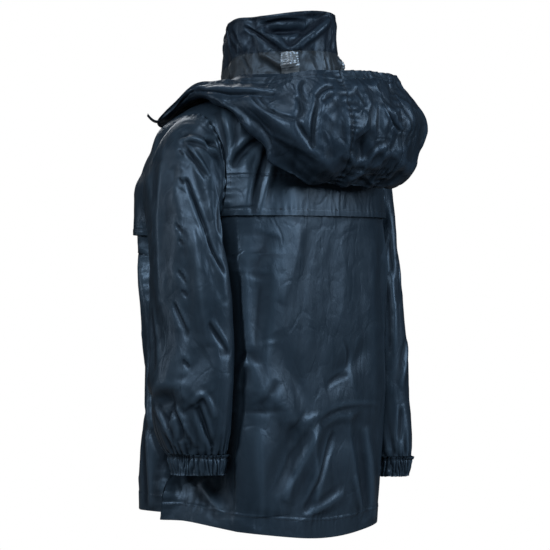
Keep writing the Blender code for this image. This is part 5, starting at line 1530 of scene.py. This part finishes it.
# %% Folds drawn on the hood: (angle, place along its profile) places
HOOD_RUN = 0.078                  # metres of cloth for one step along the profile
HOOD_PER_DEGREE = np.radians(1) * 0.165
HOOD_LINES = (
    (124, 3.72, 108, 3.42, 88, 3.44, 5, 3.6, 0.9), (92, 3.36, 70, 3.52, 51, 3.55, 6.5, 2.6, 0.9),
    (92, 3.25, 70, 3.41, 51, 3.46, 4, -4.6, 0.3), (63, 3.36, 46, 2.79, 15, 2.28, 15, 7, 0.9),
    (56, 2.66, 40, 2.60, 27, 2.52, 2.6, 1.1, 0.5), (32, 3.46, 35, 2.92, 35, 2.62, 3.2, -5, 0),
    (33, 3.40, 29, 3.54, 23, 3.61, 2.8, -3.4, 0), (31, 3.30, 28, 3.42, 24, 3.52, 2.6, -2, 0),
    (30, 3.38, 28, 3.48, 25, 3.55, 2.4, 1.6, 0), (42, 2.94, 39, 2.79, 35, 2.64, 2.8, -3.2, 0),
    (41, 3.42, 40, 3.18, 42, 2.92, 5, -3.6, 0.2), (57, 3.38, 52, 3.06, 42, 2.93, 2.6, -2.2, 0),
    (61, 3.36, 56, 3.10, 50, 3.00, 2.6, -2.4, 0), (37, 3.74, 40, 3.52, 36, 3.20, 2.6, -1.8, 0.3),
    (20, 3.28, 20, 2.90, 19, 2.54, 3.2, 2, -0.5), (11, 2.90, 9, 2.74, 8, 2.58, 9, -5.4, 0),
    (22, 2.60, 16, 2.59, 11, 2.49, 2.6, 2, 0.5), (4, 2.54, 1, 2.70, -8, 2.77, 2.6, 2, -0.5),
    (12, 3.60, 10, 3.45, 9, 3.30, 2.6, -2, 0), (-4, 3.36, -8, 3.12, -15, 2.94, 3, -3.8, 0.4),
    (-9, 3.34, -12, 3.12, -18, 2.97, 2.6, 1.6, 0), (12, 2.28, 8, 2.36, 3, 2.43, 3, 2.2, 0.4),
    (4, 2.43, -5, 2.30, -15, 2.17, 3, 2.2, 0.4), (0, 3.40, 4, 3.10, 2, 2.86, 3.4, 1.6, 0.5),
    (-20, 3.30, -24, 3.00, -20, 2.76, 3.4, -2.2, 0.4), (-16, 2.62, -24, 2.50, -34, 2.46, 3, 2, 0.5),
    (-20, 3.60, -28, 3.40, -40, 3.30, 3, -1.8, 0.4), (-36, 3.40, -42, 2.96, -36, 2.56, 8, 3, 0.5),
    (-60, 3.44, -50, 3.00, -44, 2.60, 9, -2.8, 0.3), (-72, 3.70, -60, 3.54, -46, 3.44, 5, 2.2, 0.5),
    (-58, 2.66, -46, 2.50, -36, 2.34, 7, 2.2, 0.5), (88, 3.70, 96, 3.30, 104, 3.10, 5, 1.8, 0.4),
    (-88, 3.70, -96, 3.30, -104, 3.10, 5, 1.8, -0.4), (30, 1.70, 20, 1.40, 24, 0.90, 8, 2.6, 0.5),
    (-30, 1.66, -22, 1.36, -28, 0.90, 8, 2.6, -0.5), (8, 1.80, 2, 1.40, 6, 0.90, 8, -2.4, 0.4),
)
CASING_STEP = 0.4 * MM
HOOD_FURROW, HOOD_FURROW_WIDTH = 0.9 * MM, 1.8 * MM    # the groove of the seams beside the strip
HOOD_CRUMPLE = ((0.062, 0.13), (0.030, 0.13), (0.015, 0.03))


def hood_relief(angle, along, points):
    """Drawn folds, crumple, seam puckers, and the casing's extra layer along the face edge."""
    run, down = angle * HOOD_PER_DEGREE, along * HOOD_RUN
    quiet = 1 - 0.55 * smooth_step(80, 110, np.abs(angle))
    rough = (0.45 + 0.75 * smooth_step(30, 22, np.abs(angle)) + 0.35 * smooth_step(2.7, 2.4, along)
             + 0.4 * smooth_step(10, -10, angle))
    total = fold_lines(angle, down, HOOD_PER_DEGREE, HOOD_RUN, HOOD_LINES)
    total += crumple(points, rough * quiet, sizes=HOOD_CRUMPLE)
    off_seam = (np.abs(angle) - HOOD_SEAM_ANGLE) * HOOD_PER_DEGREE
    total += puckers("hood seam", off_seam, down)
    total = total - HOOD_FURROW * np.exp(-(off_seam / HOOD_FURROW_WIDTH) ** 2)
    casing = (along - HOOD_BAND) * HOOD_RUN
    total += CASING_STEP * smooth_step(-1 * MM, 1 * MM, casing)
    total += puckers("hood casing", casing, run) * quiet
    low = smooth_step(0.2, 1.2, along)
    return total * low


# %% Hood pieces
HOOD_STEP = {"left": 1.9 * MM, "right": 3.0 * MM}    # the side that lies on folds is finer


def hood_piece(node_name, angles, start, end, gaps, extra=None, step=HOOD_STEP["left"]):
    close = [stop for stop in (HOOD_BAND,) if end < stop < start]
    along = rows_between(start, end, step / HOOD_RUN, close=close, fine=0.010, reach=0.05)
    angle, place = np.meshgrid(angles, along)
    points = hood(angle, place)
    relief = hood_relief(angle, place, points)
    if extra is not None:
        relief += extra(angle, place)
    cloth_piece(node_name, points, relief, HOOD_NAVY_SHADED,
                gaps=gaps, thickness=0.8 * MM)


def cross_seam(angle, place):
    """Two furrows close together, with puckers, along the seam across the centre strip."""
    off = (place - HOOD_CROSS_SEAM) * HOOD_RUN
    furrow = np.exp(-((np.abs(off) - 4 * MM) / (1.4 * MM)) ** 2)
    ends = smooth_step(HOOD_SEAM_ANGLE, HOOD_SEAM_ANGLE - 2, np.abs(angle))
    return ends * (0.6 * MM * np.exp(-(off / (5 * MM)) ** 2) - 0.9 * MM * furrow
                   + puckers("hood cross seam", off, angle * HOOD_PER_DEGREE))


def make_hood():
    for side, step in HOOD_STEP.items():
        angles = rows_between(HOOD_SEAM_ANGLE, 160.0, step / HOOD_PER_DEGREE)
        hood_piece("hood_side_" + side, angles if side == "left" else -angles[::-1], 4.0, 0.0,
                   (0.0, 0.0, 0.1 * MM, 0.1 * MM), step=step)
    centre = np.linspace(-HOOD_SEAM_ANGLE, HOOD_SEAM_ANGLE, 84)
    hood_piece("hood_centre", centre, HOOD_BAND, HOOD_CROSS_SEAM, (0.1 * MM,) * 4, cross_seam)
    hood_piece("hood_centre_lower", centre, HOOD_CROSS_SEAM, 0.0,
               FREE_EDGE, cross_seam)


make_hood()

# %% Gathered elastic casing
CASING_PLEATS, CASING_PLEAT_HEIGHT = 7, 2.6 * MM


def make_casing():
    """The casing at the middle of the face edge, pleated by a wave that fades at its ends."""
    angle, along = np.meshgrid(np.linspace(-HOOD_SEAM_ANGLE, HOOD_SEAM_ANGLE, 150),
                               np.linspace(4.0, HOOD_BAND, 11))
    points = hood(angle, along)
    turn = angle / HOOD_SEAM_ANGLE
    up = (along - HOOD_BAND) / (4.0 - HOOD_BAND)
    phase = CASING_PLEATS * np.pi * turn + 1.5 * np.sin(5 * turn) + 0.9 * np.sin(11 * turn)
    wave = ((0.5 + 0.5 * np.cos(phase)) ** 1.5 - 0.4) * np.clip(1 - turn ** 4, 0, 1)
    calm = 0.6 * (1 - turn ** 4) * smooth_step(0.0, 0.5, up)
    relief = hood_relief(angle, along, points) * (1 - calm)
    relief += CASING_PLEAT_HEIGHT * wave * (0.35 + 0.65 * np.sin(np.pi * np.clip(up, 0.1, 0.9)))
    cloth_piece("hood_edge_elastic", points, relief, NAVY,
                gaps=(0.0, 0.1 * MM, 0.1 * MM, 0.1 * MM), thickness=0.9 * MM)


make_casing()

# %% Tape ends at the hood's front corners
TAPE_ANGLE, TAPE_ROOT = 126.0, 3.72
TAPE_WIDTH, TAPE_LENGTH = 7.0 * MM, 14.0 * MM
TAPE_LIFT, TAPE_DROOP = 0.5 * MM, 1.2


def make_hood_tape(side):
    """A narrow strip sewn on the hood's corner; past the edge it droops with the square."""
    sign = 1 if side == "left" else -1
    angle = np.array(TAPE_ANGLE * sign)
    root, edge = hood(angle, np.array(TAPE_ROOT)), hood(angle, np.array(4.0))
    out = unit(edge - root)
    across = unit(hood(angle + sign, np.array(TAPE_ROOT)) - root)
    up = unit(np.cross(out, across)) * sign
    across = np.cross(up, out) * sign
    sewn = np.linalg.norm(edge - root) / TAPE_LENGTH
    share = np.linspace(0, 1, 25)[:, None]
    droop = TAPE_DROOP * TAPE_LENGTH * np.maximum(share - sewn, 0.0) ** 2
    centre = root + up * (TAPE_LIFT - droop) + out * TAPE_LENGTH * share
    offset = np.linspace(-0.5, 0.5, 11)
    points = centre[:, None, :] + across * (TAPE_WIDTH * offset)[None, :, None]
    if side == "right":
        points = points[:, ::-1]
    relief = 0.25 * MM * np.cos(2 * np.pi * offset)[None, :] * np.ones((25, 1))
    cloth_piece("hood_tape_" + side, points, relief, MATTE_TAPE,
                gaps=(0.0,) * 4, thickness=0.9 * MM)


for side in SIDES:
    make_hood_tape(side)

# %% [markdown]
# ## Press studs
# Six caps hold the storm flap. Each is turned metal: a low dome with a rolled rim, so its form
# is one profile carried round its axis.

# %% Studs
STUD_RADIUS, STUD_HEIGHT = 6.0 * MM, 2.2 * MM
STUD_CORRECTIONS, STUD_CORNERS = 6, 40
STUDS = 6
STUD_PROFILE = ((1.0, 0.0), (1.0, 0.35), (0.97, 0.62), (0.90, 0.80), (0.82, 0.82), (0.78, 0.70),
                (0.72, 0.70), (0.60, 0.84), (0.40, 0.95), (0.20, 0.99), (0.02, 1.0))


def make_stud(number):
    """A profile of (radius, height) shares carried round the stud's own axis."""
    name = "stud_%d" % number
    low, high = (np.array(corner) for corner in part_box(name))
    middle = (low + high) / 2
    v = middle[2]
    for _ in range(STUD_CORRECTIONS):
        v = v + middle[2] - body(np.array(180.0), np.array(v))[2]
    axis = surface_normal(smooth_body, np.array(180.0), np.array(v), ANGLE_STEP, HEIGHT_STEP)
    sideways = np.array((1.0, 0.0, 0.0))
    other = np.cross(axis, sideways)
    count = STUD_CORNERS
    turn = np.arange(count) * 2 * np.pi / count
    ring = np.cos(turn)[:, None] * sideways + np.sin(turn)[:, None] * other
    radius, height = np.array(STUD_PROFILE).T
    foot = middle - axis * STUD_HEIGHT / 2
    points = (foot + axis * (height * STUD_HEIGHT)[:, None, None]
              + ring * (radius * STUD_RADIUS)[:, None, None])
    points = np.concatenate((points[:1] * 0 + foot, points, points[:1] * 0 + foot
                             + axis * STUD_HEIGHT))
    obj = mesh_object(name + "_cap", points.reshape(-1, 3), grid_quads(len(points), count, True), STUD)
    close_poles(obj)
    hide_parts(name)
    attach(obj, "root")


def close_poles(obj):
    """Merge the points that fall together at an axis, and turn all faces outward."""
    import bmesh
    work = bmesh.new()
    work.from_mesh(obj.data)
    bmesh.ops.remove_doubles(work, verts=work.verts, dist=1e-6)
    bmesh.ops.recalc_face_normals(work, faces=work.faces)
    work.to_mesh(obj.data)
    work.free()
    obj.data.shade_smooth()


for number in range(1, STUDS + 1):
    make_stud(number)
print(STUDS, "studs")

# %% [markdown]
# ## Stitching
# Every seam and turned edge is topstitched. One stitch is a short spindle of thread, half sunk
# in the cloth; a row of them follows a row or column of the piece's own points, so it dips and
# rises with every pucker.

# %% Stitches
THREAD_RADIUS = 0.24 * MM
STITCH, STITCH_GAP = 2.9 * MM, 1.0 * MM
SPINDLE = ((-1.0, 0.35), (-0.7, 0.9), (0.0, 1.0), (0.7, 0.9), (1.0, 0.35))
SPINDLE_SIDES = 4


def stitch_row(line, normals):
    """Spindles along a line: centre every stitch length and gap, axis along the line."""
    run = np.concatenate(([0.0], np.cumsum(np.linalg.norm(np.diff(line, axis=0), axis=-1))))
    places = np.arange(STITCH, run[-1] - STITCH / 2, STITCH + STITCH_GAP)

    def at(values, where):
        return np.stack([np.interp(where, run, values[:, k]) for k in range(3)], axis=-1)

    tangent = unit(at(line, places + STITCH / 3) - at(line, places - STITCH / 3))
    normal = unit(at(normals, places))
    sideways = np.cross(tangent, normal)
    centre = at(line, places) + normal * THREAD_RADIUS * 0.35
    along, size = np.array(SPINDLE).T
    turn = np.arange(SPINDLE_SIDES) * 2 * np.pi / SPINDLE_SIDES
    points = (centre[:, None, None] + tangent[:, None, None] * (along * STITCH / 2)[:, None, None]
              + (sideways[:, None, None] * np.cos(turn)[:, None]
                 + normal[:, None, None] * np.sin(turn)[:, None])
              * (size * THREAD_RADIUS)[:, None, None])
    return points.reshape(len(places), -1, 3)


def stitch_object(name, rows):
    """All rows of one piece as one object."""
    points = np.concatenate([stitch_row(*row) for row in rows])
    rings, sides = len(SPINDLE), SPINDLE_SIDES
    faces = [(r * sides + k, (r + 1) * sides + k, (r + 1) * sides + (k + 1) % sides,
              r * sides + (k + 1) % sides) for r in range(rings - 1) for k in range(sides)]
    top = (rings - 1) * sides
    ends = [tuple(range(sides))] + [tuple(reversed(range(top, top + sides)))]
    mesh = bpy.data.meshes.new(name)
    size = rings * sides
    every = [tuple(corner + i * size for corner in face)
             for i in range(len(points)) for face in faces + ends]
    mesh.from_pydata(points.reshape(-1, 3).tolist(), [], every)
    mesh.materials.append(THREAD)
    mesh.shade_smooth()
    obj = add_object(name, mesh)
    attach(obj, "root")
    return len(points)


def nearest_row(piece, row):
    points, normals = made[piece + "_cloth"]
    return points[row], normals[row]


def nearest_column(piece, at, skip=2):
    points, normals = made[piece + "_cloth"]
    return points[skip:-skip, at], normals[skip:-skip, at]


def row_at(piece, distance, from_end=True):
    """The row that lies this far from a piece's lower or upper edge, at its middle column."""
    points = made[piece + "_cloth"][0]
    run = lengths(points, 0)[:, points.shape[1] // 2]
    wanted = run[-1] - distance if from_end else distance
    return nearest_row(piece, int(np.abs(run - wanted).argmin()))


def bar_tack(piece, share, drop):
    """Three short rows side by side that hold down a free edge, drop above it."""
    points, normals = made[piece + "_cloth"]
    at, run = int(share * points.shape[1]), lengths(points, 0)
    near = np.abs(run[:, at] - (run[-1, at] - drop)) < 5 * MM
    sideways = unit(points[near, at + 1] - points[near, at])
    return [(points[near, at] + sideways * off * MM, normals[near, at]) for off in (-0.5, 0.0, 0.5)]


TACKS = (0.47, 0.67, 0.80)        # shares of the yoke's width at which its edge is held down
CUFF_ROWS = (1, 3, 13)            # rows of a cuff that are stitched
tacks = [row for share in TACKS for row in bar_tack("back_yoke", share, 6 * MM)]
lines = {
    "back_yoke": [row_at("back_yoke", YOKE_TOPSTITCH), row_at("back_yoke", 50 * MM), *tacks,
                  nearest_column("back_yoke", 2, 24), nearest_column("back_yoke", -3, 24)],
    "hem": [row_at(piece, HEM_TURN) for piece in ("back_panel", "front_left", "front_right")],
}
for side in SIDES:
    yoke, cuff, hood_side = (part + side for part in ("front_yoke_", "cuff_", "hood_side_"))
    lines[yoke] = [row_at(yoke, YOKE_TOPSTITCH)]
    lines[cuff] = [nearest_row(cuff, row) for row in CUFF_ROWS]
    lines["hood_" + side] = [nearest_column(hood_side, 1 if side == "left" else -2),
                             nearest_row(hood_side, 6)]
lines["storm_flap"] = [nearest_column("storm_flap", at) for at in (2, -3)]
lines["hood_centre"] = [row_at("hood_centre", 4 * MM), row_at("hood_centre_lower", 4 * MM, False),
                        row_at("hood_edge_elastic", 2.5 * MM)]
lines["collar"] = [row_at("collar_upper", 4 * MM, False), row_at("collar_upper", 2.5 * MM)]
print(sum(stitch_object("stitches_" + name, rows) for name, rows in lines.items()), "stitches")

# %% [markdown]
# ## The trim of every piece
# A sewn piece was flat before it was hung. Stitching and small trim are listed with the piece
# that carries them.

TRIM = {piece + "_cloth": ["stitches_" + row] for piece, row in (
    ("back_yoke", "back_yoke"), ("back_panel", "hem"), ("storm_flap", "storm_flap"),
    ("hood_centre", "hood_centre"), ("collar_upper", "collar"))}
for side in SIDES:
    TRIM["front_yoke_%s_cloth" % side] = ["stitches_front_yoke_" + side]
    TRIM["cuff_%s_cloth" % side] = ["stitches_cuff_" + side]
    TRIM["hood_side_%s_cloth" % side] = ["stitches_hood_" + side, "hood_tape_%s_cloth" % side]
